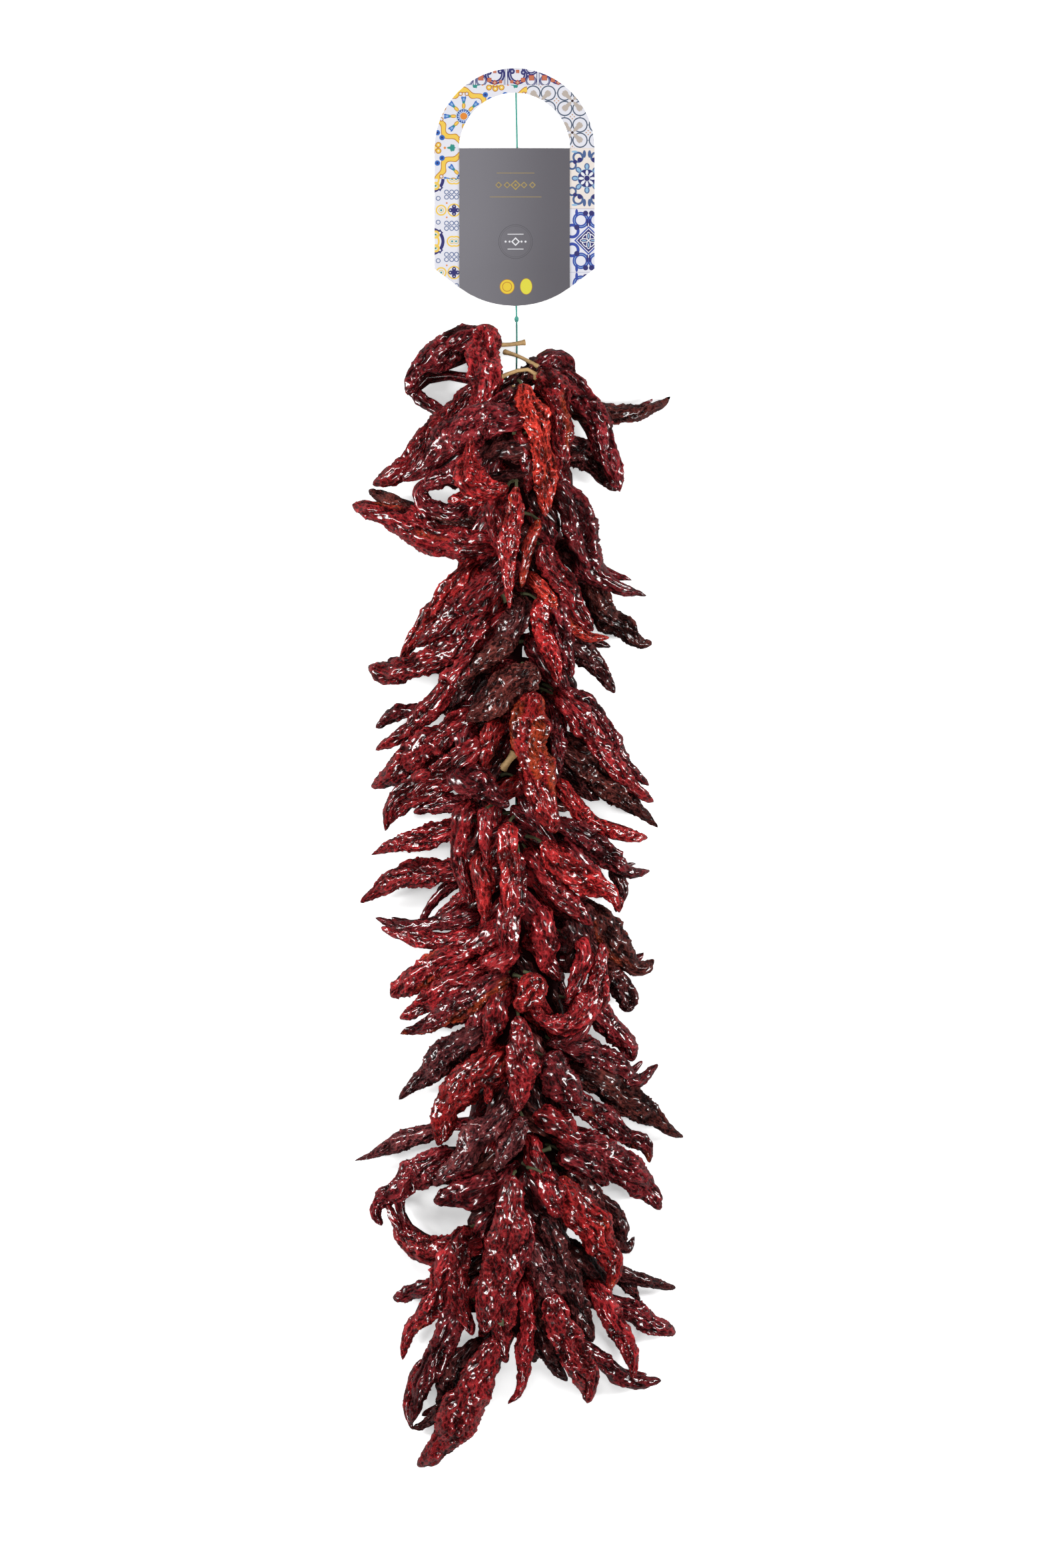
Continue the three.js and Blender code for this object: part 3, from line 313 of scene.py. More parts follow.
def smooth_shape(piece, levels):
    smooth = piece.modifiers.new("smooth", "SUBSURF")
    smooth.levels = smooth.render_levels = levels
    apply_modifiers(piece)


def add_ring(name, sides, radius, fill="NOTHING", turn=(0, math.pi / 2, 0), place=(0, 0, 0)):
    """A circle that faces along +X unless it is turned, where a piece that is drawn out starts."""
    bpy.ops.object.select_all(action="DESELECT")
    bpy.ops.mesh.primitive_circle_add(
        vertices=sides, radius=radius, fill_type=fill, rotation=turn, location=place)
    ring = bpy.context.object
    ring.name = name
    bpy.ops.object.transform_apply(location=True, rotation=True, scale=True)
    return ring


def draw_out(stations):
    """Extrudes the selected end along +X through (place, size) stations, from place 0 and size 1."""
    reached, size = 0.0, 1.0
    for place, wanted in stations:
        bpy.ops.mesh.extrude_region_move(TRANSFORM_OT_translate={"value": (place - reached, 0, 0)})
        bpy.ops.transform.resize(value=(1, wanted / size, wanted / size), center_override=(place, 0, 0))
        reached, size = place, wanted


def close_edit():
    """Leaves edit mode with every face turned outwards."""
    bpy.ops.mesh.select_all(action="SELECT")
    bpy.ops.mesh.normals_make_consistent(inside=False)
    bpy.ops.object.mode_set(mode="OBJECT")


def copy_of(piece, name):
    """A copy with a mesh of its own."""
    made = piece.copy()
    made.data = piece.data.copy()
    made.name = name
    bpy.context.scene.collection.objects.link(made)
    return made


def discard(*pieces):
    for piece in pieces:
        data, kept_in = piece.data, bpy.data.meshes if piece.type == "MESH" else bpy.data.curves
        bpy.data.objects.remove(piece)
        kept_in.remove(data)


def joined(pieces, name):
    bpy.ops.object.select_all(action="DESELECT")
    for piece in pieces:
        piece.select_set(True)
    bpy.context.view_layer.objects.active = pieces[0]
    if len(pieces) > 1:
        bpy.ops.object.join()
    made = bpy.context.view_layer.objects.active
    made.name = name
    made.data.name = name
    return made


def guide_curve(points):
    """A smooth curve through points in metres, for pieces that are bent along it."""
    data = bpy.data.curves.new("guide", "CURVE")
    data.dimensions = "3D"
    data.twist_mode = "Z_UP"
    data.resolution_u = GUIDE_STEPS
    spline = data.splines.new("BEZIER")
    spline.bezier_points.add(len(points) - 1)
    for knot, place in zip(spline.bezier_points, points):
        knot.co = place
        knot.handle_left_type = "AUTO"
        knot.handle_right_type = "AUTO"
    made = bpy.data.objects.new("guide", data)
    bpy.context.scene.collection.objects.link(made)
    bpy.context.view_layer.update()
    return made, spline.calc_length()


def bend_along(piece, guide):
    modifier = piece.modifiers.new("follow", "CURVE")
    modifier.object = guide
    modifier.deform_axis = "POS_X"
    apply_modifiers(piece)


def vertex_array(piece):
    values = [0.0] * (3 * len(piece.data.vertices))
    piece.data.vertices.foreach_get("co", values)
    return [Vector(values[i:i + 3]) for i in range(0, len(values), 3)]


def set_vertices(piece, places):
    piece.data.vertices.foreach_set("co", [value for place in places for value in place])
    piece.data.update()


def rest_on_table(piece):
    """Presses flat what would reach below the table."""
    set_vertices(piece, [Vector((p.x, p.y, max(p.z, TABLE_GAP))) for p in vertex_array(piece)])


def write_attribute(piece, name, kind, values):
    attribute = piece.data.attributes.new(name, kind, "POINT")
    attribute.data.foreach_set("vector" if kind == "FLOAT_VECTOR" else "value", values)


def paint_solid(node, material):
    """Gives a solid that is kept one material."""
    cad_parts[node].data.materials.clear()
    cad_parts[node].data.materials.append(material)


def finish_piece(piece, slot, *nodes):
    """Rides the piece on its body and hides the solids that it stands for; slot is not used."""
    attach(piece, BODY)
    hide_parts(*nodes)


# ---- building node trees --------------------------------------------------------------------------


class Nodes:
    """Short hand for the nodes of one tree."""

    def __init__(self, tree):
        self.tree = tree

    def add(self, kind, inputs=None, **settings):
        made = self.tree.nodes.new(kind)
        for name, value in settings.items():
            setattr(made, name, value)
        for key, value in (inputs or {}).items():
            if isinstance(value, bpy.types.NodeSocket):
                self.tree.links.new(value, made.inputs[key])
            else:
                made.inputs[key].default_value = value
        return made

    def math(self, operation, a, b=0.0):
        return self.add("ShaderNodeMath", {0: a, 1: b}, operation=operation).outputs[0]

    def vector(self, operation, a, b=(0.0, 0.0, 0.0)):
        return self.add("ShaderNodeVectorMath", {0: a, 1: b}, operation=operation).outputs[0]

    def mix(self, share, a, b):
        return self.add("ShaderNodeMix", {0: share, 6: a, 7: b}, data_type="RGBA").outputs[2]

    def rise(self, value, low, high, to_low=0.0, to_high=1.0):
        """0 below low, 1 above high, smooth between."""
        inputs = {"Value": value, "From Min": low, "From Max": high, "To Min": to_low, "To Max": to_high}
        return self.add("ShaderNodeMapRange", inputs, interpolation_type="SMOOTHSTEP").outputs[0]

    def noise(self, place, scale, detail=2.0, distortion=0.0):
        inputs = {"Vector": place, "Scale": scale, "Detail": detail, "Distortion": distortion}
        return self.add("ShaderNodeTexNoise", inputs).outputs[0]

    def split(self, vector):
        return self.add("ShaderNodeSeparateXYZ", {0: vector}).outputs

    def join(self, x, y, z=0.0):
        return self.add("ShaderNodeCombineXYZ", {0: x, 1: y, 2: z}).outputs[0]

    def attribute(self, name, output="Fac"):
        return self.add("ShaderNodeAttribute", attribute_name=name).outputs[output]

    def object_place(self):
        return self.add("ShaderNodeTexCoord").outputs["Object"]

    def bump(self, height, distance, strength=1.0):
        made = self.add("ShaderNodeBump", {"Strength": strength, "Distance": distance, "Height": height})
        return made.outputs[0]


def new_group(name, inputs, outputs):
    """An empty shader node group with typed inputs and outputs, and short hand for its nodes."""
    tree = bpy.data.node_groups.new(name, "ShaderNodeTree")
    kinds = {"color": "NodeSocketColor", "value": "NodeSocketFloat", "vector": "NodeSocketVector"}
    for socket, kind in inputs.items():
        tree.interface.new_socket(name=socket, in_out="INPUT", socket_type=kinds[kind])
    for socket, kind in outputs.items():
        tree.interface.new_socket(name=socket, in_out="OUTPUT", socket_type=kinds[kind])
    nodes = Nodes(tree)
    source = nodes.add("NodeGroupInput").outputs
    sink = nodes.add("NodeGroupOutput").inputs
    return tree, nodes, source, sink


def new_material(name, roughness=0.5, **sockets):
    """A material with a Principled BSDF, and short hand for its nodes."""
    material = bpy.data.materials.new(name)
    material.use_nodes = True
    shader = material.node_tree.nodes["Principled BSDF"]
    shader.inputs["Roughness"].default_value = roughness
    for socket, value in sockets.items():
        shader.inputs[socket.replace("_", " ")].default_value = value
    return material, Nodes(material.node_tree), shader


def link(nodes, source, socket):
    nodes.tree.links.new(source, socket)


def shade(colour, *shares):
    """A colour for a socket, each channel multiplied by its own share or all by one share."""
    red, green, blue = shares if len(shares) == 3 else shares * 3
    return (colour[0] * red, colour[1] * green, colour[2] * blue, 1)


# ---- settings -------------------------------------------------------------------------------------


class PodSettings(bpy.types.PropertyGroup):
    """Colours and relief of the dried pods."""

    burgundy: bpy.props.FloatVectorProperty(
        name="Burgundy", description="Skin of the darkest glossy pods",
        default=(0.075, 0.0025, 0.005), subtype="COLOR", min=0, max=1)
    crimson: bpy.props.FloatVectorProperty(
        name="Crimson", description="Skin of most pods",
        default=(0.135, 0.0032, 0.0055), subtype="COLOR", min=0, max=1)
    bright_red: bpy.props.FloatVectorProperty(
        name="Bright red", description="Skin of the reddest pods",
        default=(0.175, 0.004, 0.005), subtype="COLOR", min=0, max=1)
    orange_red: bpy.props.FloatVectorProperty(
        name="Orange red", description="Skin of the palest pods",
        default=(0.24, 0.011, 0.007), subtype="COLOR", min=0, max=1)
    orange: bpy.props.FloatVectorProperty(
        name="Orange", description="Streaks where the skin is thin",
        default=(0.4, 0.05, 0.012), subtype="COLOR", min=0, max=1)
    brown: bpy.props.FloatVectorProperty(
        name="Brown", description="Matt skin of the oldest pods",
        default=(0.045, 0.008, 0.0075), subtype="COLOR", min=0, max=1)
    # near black: the darkest pods' own colour, and partly painted shade for the pods that lie deep in the
    # bunch
    near_black: bpy.props.FloatVectorProperty(
        name="Near black", description="Pods deep inside the bunch",
        default=(0.032, 0.005, 0.006), subtype="COLOR", min=0, max=1)
    purple_grey: bpy.props.FloatVectorProperty(
        name="Purple grey", description="Pods with a faded bloom",
        default=(0.07, 0.011, 0.015), subtype="COLOR", min=0, max=1)
    fold_depth: bpy.props.FloatProperty(
        name="Fold depth", description="Depth of the long folds of a wide pod",
        default=3.0 * MM, subtype="DISTANCE", min=0)
    ridge_height: bpy.props.FloatProperty(
        name="Ridge height", description="Height of the sharp ridges between the folds",
        default=2.2 * MM, subtype="DISTANCE", min=0)
    dent_depth: bpy.props.FloatProperty(
        name="Dent depth", description="Depth of the soft dents of a collapsed pod",
        default=7.5 * MM, subtype="DISTANCE", min=0)
    crumple_depth: bpy.props.FloatProperty(
        name="Crumple depth", description="Depth of the small wrinkles",
        default=1.5 * MM, subtype="DISTANCE", min=0)
    seed: bpy.props.IntProperty(name="Seed", description="Start of the random draws", default=11)


class StemSettings(bpy.types.PropertyGroup):
    """Colours of the stems."""

    straw: bpy.props.FloatVectorProperty(
        name="Straw", description="Dry stems near the top",
        default=(0.5, 0.31, 0.13), subtype="COLOR", min=0, max=1)
    olive: bpy.props.FloatVectorProperty(
        name="Olive", description="Greener stems deeper in the bunch",
        default=(0.06, 0.065, 0.022), subtype="COLOR", min=0, max=1)


class TwineSettings(bpy.types.PropertyGroup):
    """Size and colour of the twine."""

    diameter: bpy.props.FloatProperty(
        name="Diameter", description="Thickness of the twine",
        default=1.8 * MM, subtype="DISTANCE", min=0.5 * MM)
    pitch: bpy.props.FloatProperty(
        name="Pitch", description="Length of one turn of the strands",
        default=4.2 * MM, subtype="DISTANCE", min=1 * MM)
    colour: bpy.props.FloatVectorProperty(
        name="Colour", description="Dye of the twine",
        default=(0.03, 0.27, 0.21), subtype="COLOR", min=0, max=1)


class StageSettings(bpy.types.PropertyGroup):
    """Floor, lights and camera."""

    floor_colour: bpy.props.FloatVectorProperty(
        name="Floor", description="Colour of the pale floor",
        default=(0.92, 0.92, 0.92), subtype="COLOR", min=0, max=1)
    floor_glow: bpy.props.FloatProperty(
        name="Floor glow", description="Light that the floor adds to its own shadows", default=0.45, min=0)
    floor_bounce: bpy.props.FloatProperty(
        name="Floor bounce", description="Share of the floor's light that reaches the pods",
        default=0.25, min=0, max=1)
    key_power: bpy.props.FloatProperty(
        name="Key light", description="Power of each strip light", default=78.0, unit="POWER", min=0)
    top_power: bpy.props.FloatProperty(
        name="Top light", description="Power of the wide light above", default=19.0, unit="POWER", min=0)
    camera_height: bpy.props.FloatProperty(
        name="Camera height", description="Distance of the camera from the table",
        default=9.0, subtype="DISTANCE", min=2)


# ---- stage ----------------------------------------------------------------------------------------

IMAGE_SIZE = (1568, 2353)
PIXELS_PER_MM = 1.5
VIEW_CENTRE = (6.0, -15.0)  # mm, what the camera looks straight down at
VIEW_HEIGHT = 60.0  # mm above the table, where the scale holds
FLOOR_SIZE, CAMERA_REACH = 14, 50  # metres
FLOOR_MOTTLE = 0.985  # the darker places of the floor have this share of its colour
ROOM_LIGHT = 0.02
# name, place and size in metres, and the power setting with the share of it that the light has
LIGHTS = (
    ("strip_left", (-2.3, 0.2, 1.45), (0.35, 1.4), "key_power", 1.0),
    ("strip_right", (2.3, 0.0, 1.45), (0.35, 1.4), "key_power", 1.0),
    ("box_above", (0, 0.3, 3.4), (0.55, 0.55), "top_power", 1.0),
    ("box_head", (0.2, 2.7, 1.7), (0.5, 0.5), "top_power", 1.7),
    ("box_foot", (-0.2, -2.7, 1.7), (0.5, 0.5), "top_power", 1.7),
)


def add_area_light(name, place, size, power):
    """A rectangular light that points at the origin."""
    bpy.ops.object.light_add(type="AREA", location=place)
    light = bpy.context.object
    light.name = name
    light.data.shape = "RECTANGLE"
    light.data.size, light.data.size_y = size
    light.data.energy = power
    light.rotation_euler = (Vector() - Vector(place)).to_track_quat("-Z", "Y").to_euler()


class CHILLIES_OT_stage(bpy.types.Operator):
    """Add the camera, the pale floor and the soft lights"""

    bl_idname = "chillies.stage"
    bl_label = "Stage"

    def execute(self, context):
        settings = context.scene.chilli_stage
        self.add_camera(context, settings)
        self.add_floor(settings)
        self.add_lights(settings)
        return {"FINISHED"}

    def add_camera(self, context, settings):
        x, y = (value * MM for value in VIEW_CENTRE)
        bpy.ops.object.camera_add(location=(x, y, settings.camera_height), rotation=(0, 0, 0))
        camera = bpy.context.object
        camera.name = "view_from_above"
        long_side = max(IMAGE_SIZE) / PIXELS_PER_MM * MM
        distance = settings.camera_height - VIEW_HEIGHT * MM
        camera.data.lens = camera.data.sensor_width * distance / long_side
        camera.data.clip_end = CAMERA_REACH
        context.scene.camera = camera
        context.scene.view_settings.view_transform = "Standard"

    def add_floor(self, settings):
        bpy.ops.mesh.primitive_plane_add(size=FLOOR_SIZE, location=(0, 0, 0))
        floor = bpy.context.object
        floor.name = "floor"
        bpy.ops.object.mode_set(mode="EDIT")
        bpy.ops.mesh.subdivide(number_cuts=1)
        bpy.ops.object.mode_set(mode="OBJECT")
        material, nodes, shader = new_material("pale floor", roughness=0.85)
        mottle = nodes.noise(nodes.object_place(), 1.5)
        pale = settings.floor_colour
        colour = nodes.mix(mottle, (*pale, 1), shade(pale, FLOOR_MOTTLE))
        seen = nodes.add("ShaderNodeLightPath").outputs["Is Camera Ray"]
        colour = nodes.mix(seen, shade(pale, settings.floor_bounce), colour)
        link(nodes, colour, shader.inputs["Base Color"])
        shader.inputs["Emission Color"].default_value = (1, 1, 1, 1)
        link(nodes, nodes.math("MULTIPLY", seen, settings.floor_glow), shader.inputs["Emission Strength"])
        floor.data.materials.append(material)

    def add_lights(self, settings):
        for name, place, size, power, share in LIGHTS:
            add_area_light(name, place, size, getattr(settings, power) * share)
        world = bpy.data.worlds.new("soft room")
        world.use_nodes = True
        background = world.node_tree.nodes["Background"]
        background.inputs["Color"].default_value = (1, 1, 1, 1)
        background.inputs["Strength"].default_value = ROOM_LIGHT
        bpy.context.scene.world = world


# ---- twine ----------------------------------------------------------------------------------------

TWINE_SIDES = 9
STEPS_PER_TURN = 8
STRAND_WAIST = 0.9  # the section between two strands is this share of the full radius


def twine_material(settings):
    material, nodes, shader = new_material("green twine", roughness=0.75)
    fibres = nodes.noise(nodes.object_place(), 2600, detail=3)
    red, green, blue, _ = shade(settings.colour, 1.6, 1.3, 1.35)
    colour = nodes.mix(fibres, shade(settings.colour, 0.55, 0.6, 0.6), (red + 0.02, green, blue, 1))
    link(nodes, colour, shader.inputs["Base Color"])
    link(nodes, nodes.bump(fibres, 0.15 * MM, 0.6), shader.inputs["Normal"])
    return material


def twisted_twine(name, route, settings, material):
    """Three strands twisted round each other, as one bar of a turning three-lobed section."""
    guide, length = guide_curve([Vector(p) * MM for p in route])
    twine = add_ring(name, TWINE_SIDES, settings.diameter / 2)
    places = vertex_array(twine)
    for place in places:
        angle = math.atan2(place.z, place.y)
        lobe = STRAND_WAIST + (1 - STRAND_WAIST) * (0.5 + 0.5 * math.cos(3 * angle))
        place.y *= lobe
        place.z *= lobe
    set_vertices(twine, places)
    screw = twine.modifiers.new("twist", "SCREW")
    turns = length / settings.pitch
    screw.axis = "X"
    screw.angle = turns * 2 * math.pi
    screw.screw_offset = length
    screw.steps = screw.render_steps = round(turns * STEPS_PER_TURN)
    apply_modifiers(twine)
    bpy.ops.object.mode_set(mode="EDIT")
    bpy.ops.mesh.select_all(action="SELECT")
    bpy.ops.mesh.remove_doubles(threshold=1e-6)
    bpy.ops.mesh.select_all(action="DESELECT")
    bpy.ops.mesh.select_non_manifold()
    bpy.ops.mesh.fill_holes(sides=0)
    close_edit()
    bend_along(twine, guide)
    bpy.ops.object.shade_smooth()
    twine.data.materials.append(material)
    discard(guide)
    return twine, length


class CHILLIES_OT_twine(bpy.types.Operator):
    """Twist the green twine from the back of the card down through the pods"""

    bl_idname = "chillies.twine"
    bl_label = "Twine"

    def execute(self, context):
        settings = context.scene.chilli_twine
        material = twine_material(settings)
        free, length = twisted_twine("twine", FREE_TWINE, settings, material)
        held, _ = twisted_twine("twine_in_pods", HELD_TWINE, settings, material)
        finish_piece(free, "green_twine", "twine_free")
        finish_piece(held, "green_twine", "twine_held")
        for node in ("knot_middle", "knot_inner", "knot_end"):
            paint_solid(node, material)
        path = [Vector(p) * MM for p in FREE_TWINE]
        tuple(path[-1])
        return {"FINISHED"}


# ---- pods -----------------------------------------------------------------------------------------

# share of the full width at places along a pod, from its blunt shoulder to its tip
POD_PROFILE = [(0, 0.0), (0.012, 0.3), (0.035, 0.5), (0.075, 0.7), (0.14, 0.88), (0.22, 1.0),
               (0.8, 1.0), (0.88, 0.84), (0.94, 0.56), (0.98, 0.3), (1, 0.0)]
POD_SIZES = [(0, 9, 11), (85, 11, 14), (125, 13, 19)]  # from this length in mm: sides, rings
FILLER_SIZE = (8, 8)
SHOULDER_RINGS, TIP_RINGS = [0.03, 0.08], [0.9, 0.955, 1.0]
BODY_FROM, BODY_LENGTH = 0.15, 0.68  # the other rings are spread evenly over this stretch
LEAST_GIRTH = 0.02
SHOULDER_ROUND = 0.2  # the blunt shoulder reaches back by this share of the first width
GIRTH_SWING, GIRTH_SPAN = 0.16, 20  # share by which the width swells and wanes, and over how many mm
WANDER, WANDER_SPAN, WANDER_RISE = 0.2, 28, 0.6  # the same for the drift sideways, and its share upwards

# Folds and ridges run where a noise field passes zero, and crumples between the cells of one. Each has
# the stretch of its field in mm along and across the pod, how far the field is bent, half the width of
# the crease as a share of the field's swing, and the mean that is taken off to keep the pod's girth.
FOLD = {"along": 46.0, "across": 12.0, "bend": 0.12, "half_width": 0.2, "mean": 0.1}
RIDGE = {"along": 16.0, "across": 7.5, "bend": 0.3, "half_width": 0.24, "mean": 0.3}
CRUMPLE = {"along": 6.0, "across": 4.2, "bend": 0.45, "half_width": 0.36, "mean": 0.35}
DENT = {"along": 26.0, "across": 15.0, "from": -0.1, "mean": 0.12}
BEND = {"along": 9.0, "across": 9.0}
SHARPNESS = 0.55  # of the bottom of a fold
RIDGE_COARSENESS = (0.8, 1.35)  # least and most of the ridges' stretch, drawn for each pod
SKINS = {"s": (1.0, 1.0, 0.55), "m": (0.9, 1.0, 1.0), "f": (0.7, 0.8, 1.3)}  # fold, ridge, crumple
FULL_RELIEF_WIDTH, MOST_RELIEF = 24.0, 1.15  # narrower pods have shallower wrinkles, wider ones deeper
THIN_RELIEF, RELIEF_GAIN = 0.12, 1.1  # relief where a pod is thin, and its growth with the radius
EDGE_DENT = 0.35  # dents keep this share of their depth at the edges of a pod
DEEPEST = 0.6  # share of the radius that relief may take away
CREASE_SPAN, MOST_SWELL = 1.6 * MM, 1.5  # relief that counts as a full crease or ridge, and the limit


def model_straight_pod(sides, rings, smoothness):
    """A straight pod along +X, one unit long and wide, drawn out ring by ring and smoothed."""
    pod = add_ring(f"straight_pod_{sides}", sides, 0.5)
    body = rings - len(SHOULDER_RINGS) - len(TIP_RINGS)
    spread = [BODY_FROM + BODY_LENGTH * i / (body - 1) for i in range(body)]
    bpy.ops.object.mode_set(mode="EDIT")
    bpy.ops.mesh.select_all(action="SELECT")
    draw_out([(place, max(between(POD_PROFILE, place), LEAST_GIRTH))
              for place in (*SHOULDER_RINGS, *spread, *TIP_RINGS)])
    bpy.ops.mesh.merge(type="CENTER")
    bpy.ops.object.mode_set(mode="OBJECT")
    for vertex in pod.data.vertices:
        vertex.select = vertex.co.x < 1e-5
    bpy.ops.object.mode_set(mode="EDIT")
    bpy.ops.mesh.merge(type="CENTER")
    close_edit()
    smooth_shape(pod, smoothness)
    bpy.ops.object.shade_smooth()
    return pod


def stretched(place, field):
    """Where a noise field that is drawn out along the pod is read, from a place in millimetres."""
    return Vector((place.x / field["along"], place.y / field["across"], place.z / field["across"]))


def crease(value, half_width):
    """1 along the line where a noise field passes zero, 0 beyond half_width, with a sharp bottom."""
    share = max(0.0, 1 - abs(value) / half_width)
    return share * (1 - SHARPNESS + SHARPNESS * share)


class PodMaker:
    """Makes one dried pod after another from the same straight pods, wrinkles and materials."""

    def __init__(self, settings, materials):
        self.settings = settings
        self.materials = materials
        self.random = random.Random(settings.seed)
        noise.seed_set(settings.seed)  # noise_vector would otherwise change from run to run
        self.straight = [(length, model_straight_pod(sides, rings, smoothness=2))
                         for length, sides, rings in POD_SIZES]
        self.filler = model_straight_pod(*FILLER_SIZE, smoothness=2)
        self.hidden = model_straight_pod(*FILLER_SIZE, smoothness=1)

    def clear(self):
        discard(self.filler, self.hidden, *(pod for _, pod in self.straight))

    def make(self, look, path, widths, start=None):
        """One pod along a path in millimetres, with three widths, from a straight pod of like length."""
        points = [Vector(p) * MM for p in path]
        back = (points[0] - points[1]).normalized() * widths[0] * SHOULDER_ROUND * MM
        guide, length = guide_curve([points[0] + back, *points])
        if start is None:
            start = [pod for least, pod in self.straight if length / MM >= least][-1]
        pod = copy_of(start, "pod")
        self.give_size(pod, widths, length)
        self.give_skin_place(pod)
        self.wrinkle(pod, look, max(widths))
        bend_along(pod, guide)
        discard(guide)
        rest_on_table(pod)
        self.colour(pod, look)
        return pod

    def give_size(self, pod, widths, length):
        stations = list(zip(WIDTH_PLACES, widths))
        turn = self.random.uniform(0, 100)
        places = vertex_array(pod)
        for place in places:
            along = min(max(place.x, 0.0), 1.0)
            reached = along * length / MM
            width = between(stations, along, rounded=True)
            width *= 1 + GIRTH_SWING * noise.noise((reached / GIRTH_SPAN, turn, 0.5))
            depth = width * POD_FLATNESS + POD_MIN_DEPTH
            drift = noise.noise((reached / WANDER_SPAN, turn, 7.5)) * math.sin(math.pi * along)
            drift *= WANDER * width
            place.x *= length
            place.y = (place.y * width + drift) * MM
            place.z = (place.z * depth + drift * WANDER_RISE) * MM
        set_vertices(pod, places)

    def give_skin_place(self, pod):
        """Remembers where each point of the skin is on the straight pod, for the materials."""
        shift = Vector([self.random.uniform(0, 1) for _ in range(3)])
        self.straight_places = vertex_array(pod)
        flat = [value for place in self.straight_places for value in place + shift]
        write_attribute(pod, "skin_place", "FLOAT_VECTOR", flat)

    def wrinkle(self, pod, look, width):
        """Moves the skin in along folds and dents and out along the ridges and crumples between them."""
        settings = self.settings
        share = min(width / FULL_RELIEF_WIDTH, MOST_RELIEF)
        fold_depth, ridge_height, crumple_depth = (
            depth * part * share for depth, part in
            zip((settings.fold_depth, settings.ridge_height, settings.crumple_depth), SKINS[look[1]]))
        shift = Vector([self.random.uniform(-500, 500) for _ in range(3)])
        coarse = self.random.uniform(*RIDGE_COARSENESS)
        places = self.straight_places
        widest = max(abs(place.y) for place in places)
        moved, swell = [], []
        for place in places:
            radius = math.hypot(place.y, place.z)
            if radius < 1e-6:
                moved.append(place)
                swell.append(0.0)
                continue
            spot = place / MM
            bend = noise.noise_vector(stretched(spot, BEND) + shift)
            fold = noise.noise(stretched(spot, FOLD) + shift + bend * FOLD["bend"])
            ridge = noise.noise(stretched(spot, RIDGE) / coarse + shift + bend * RIDGE["bend"])
            dent = noise.noise(stretched(spot, DENT) - shift)
            cells = noise.voronoi(stretched(spot, CRUMPLE) + shift + bend * CRUMPLE["bend"])
            near, next_near = cells[0][:2]
            fold = crease(fold, FOLD["half_width"]) - FOLD["mean"]
            ridge = crease(ridge, RIDGE["half_width"]) - RIDGE["mean"]
            crumple = max(0.0, 1 - (next_near - near) / CRUMPLE["half_width"]) - CRUMPLE["mean"]
            body = min(1.0, THIN_RELIEF + RELIEF_GAIN * radius / widest)
            rise = (crumple_depth * crumple + ridge_height * ridge - fold_depth * fold) * body
            hollow = DENT["mean"] - max(0.0, dent - DENT["from"])
            hollow *= settings.dent_depth * share * body
            hollow *= EDGE_DENT + (1 - EDGE_DENT) * abs(place.z) / radius
            grown = 1 + max(rise + hollow, -DEEPEST * radius) / radius
            moved.append(Vector((place.x, place.y * grown, place.z * grown)))
            swell.append(max(-MOST_SWELL, min(MOST_SWELL, rise / CREASE_SPAN)))
        set_vertices(pod, moved)
        write_attribute(pod, "swell", "FLOAT", swell)

    def colour(self, pod, look):
        count = len(pod.data.vertices)
        orange = int(look[2:] or 0) / 10
        write_attribute(pod, "tone", "FLOAT", [self.random.uniform(-1, 1)] * count)
        write_attribute(pod, "streak", "FLOAT", [orange] * count)
        pod.data.materials.append(self.materials[look[0]])


# The fine net of raised ridges, large and small: cells to a metre along and across the pod, width of a
# ridge as a share of its cell, and height beside the grain.
SKIN_NETS = ((120.0, 300.0, 0.3, 0.8), (260.0, 520.0, 0.42, 0.45))
NET_WARP, NET_WARP_REACH = 160.0, 0.004
GRAIN_SCALE, GRAIN_HEIGHT = 700.0, 0.6
RELIEF_DEPTH = 2.8 * MM
PATCH_SCALE, MATT_SCALE, ROUGH_SCALE = 48.0, 34.0, 120.0
STREAK_STRETCH = (14.0, 60.0, 60.0)
# noise level where orange starts on a plain pod, how far a pod's own share lowers it, and its strength
STREAK_START, STREAK_GAIN, STREAK_SHARE = 0.73, 0.42, 0.75
DEEP_SHARE = (0.5, 0.5, 0.6)  # the deeper colour beside the skin's own
# painted highlight colour of the ridges: the skin's colour times this gain, and so much pale sheen added
HIGHLIGHT_GAIN, HIGHLIGHT_SHEEN = (2.6, 3.4, 2.4), (0.09, 0.016, 0.018)
RIDGE_HIGHLIGHT, NET_HIGHLIGHT = 0.68, 0.36  # share of the painted highlight colour on ridges and on the fine net
CREASE_SHADE, CREASE_GLOSS = 0.24, 0.15  # what a crease keeps of its colour under painted shade, and of its gloss
CELL_SHADE, NET_SHADE = 0.5, 1.15  # brightness as painted shade in the cells and as painted highlight on the ridges of the fine net
TONE, TONE_SWING = 1.13, 0.3  # brightness of the skins, and how far it differs from pod to pod
ROUGH_LEAST, ROUGH_UNEVEN, ROUGH_MATT = 0.14, 0.2, 0.25  # roughness, more from place to place, if matt
# letter of a look: material, its colour, how matt its old places are, and its gloss
SKIN_KINDS = {
    "g": ("burgundy skin", "burgundy", 0.3, 1.0),
    "c": ("crimson skin", "crimson", 0.3, 0.95),
    "r": ("bright red skin", "bright_red", 0.25, 0.9),
    "o": ("orange red skin", "orange_red", 0.25, 0.8),
    "b": ("brown skin", "brown", 0.5, 0.6),
    # dark skin: partly painted shade, for pods that lie deep in the bunch
    "k": ("dark skin", "near_black", 0.5, 0.6),
    "p": ("purple grey skin", "purple_grey", 0.5, 0.65),
}


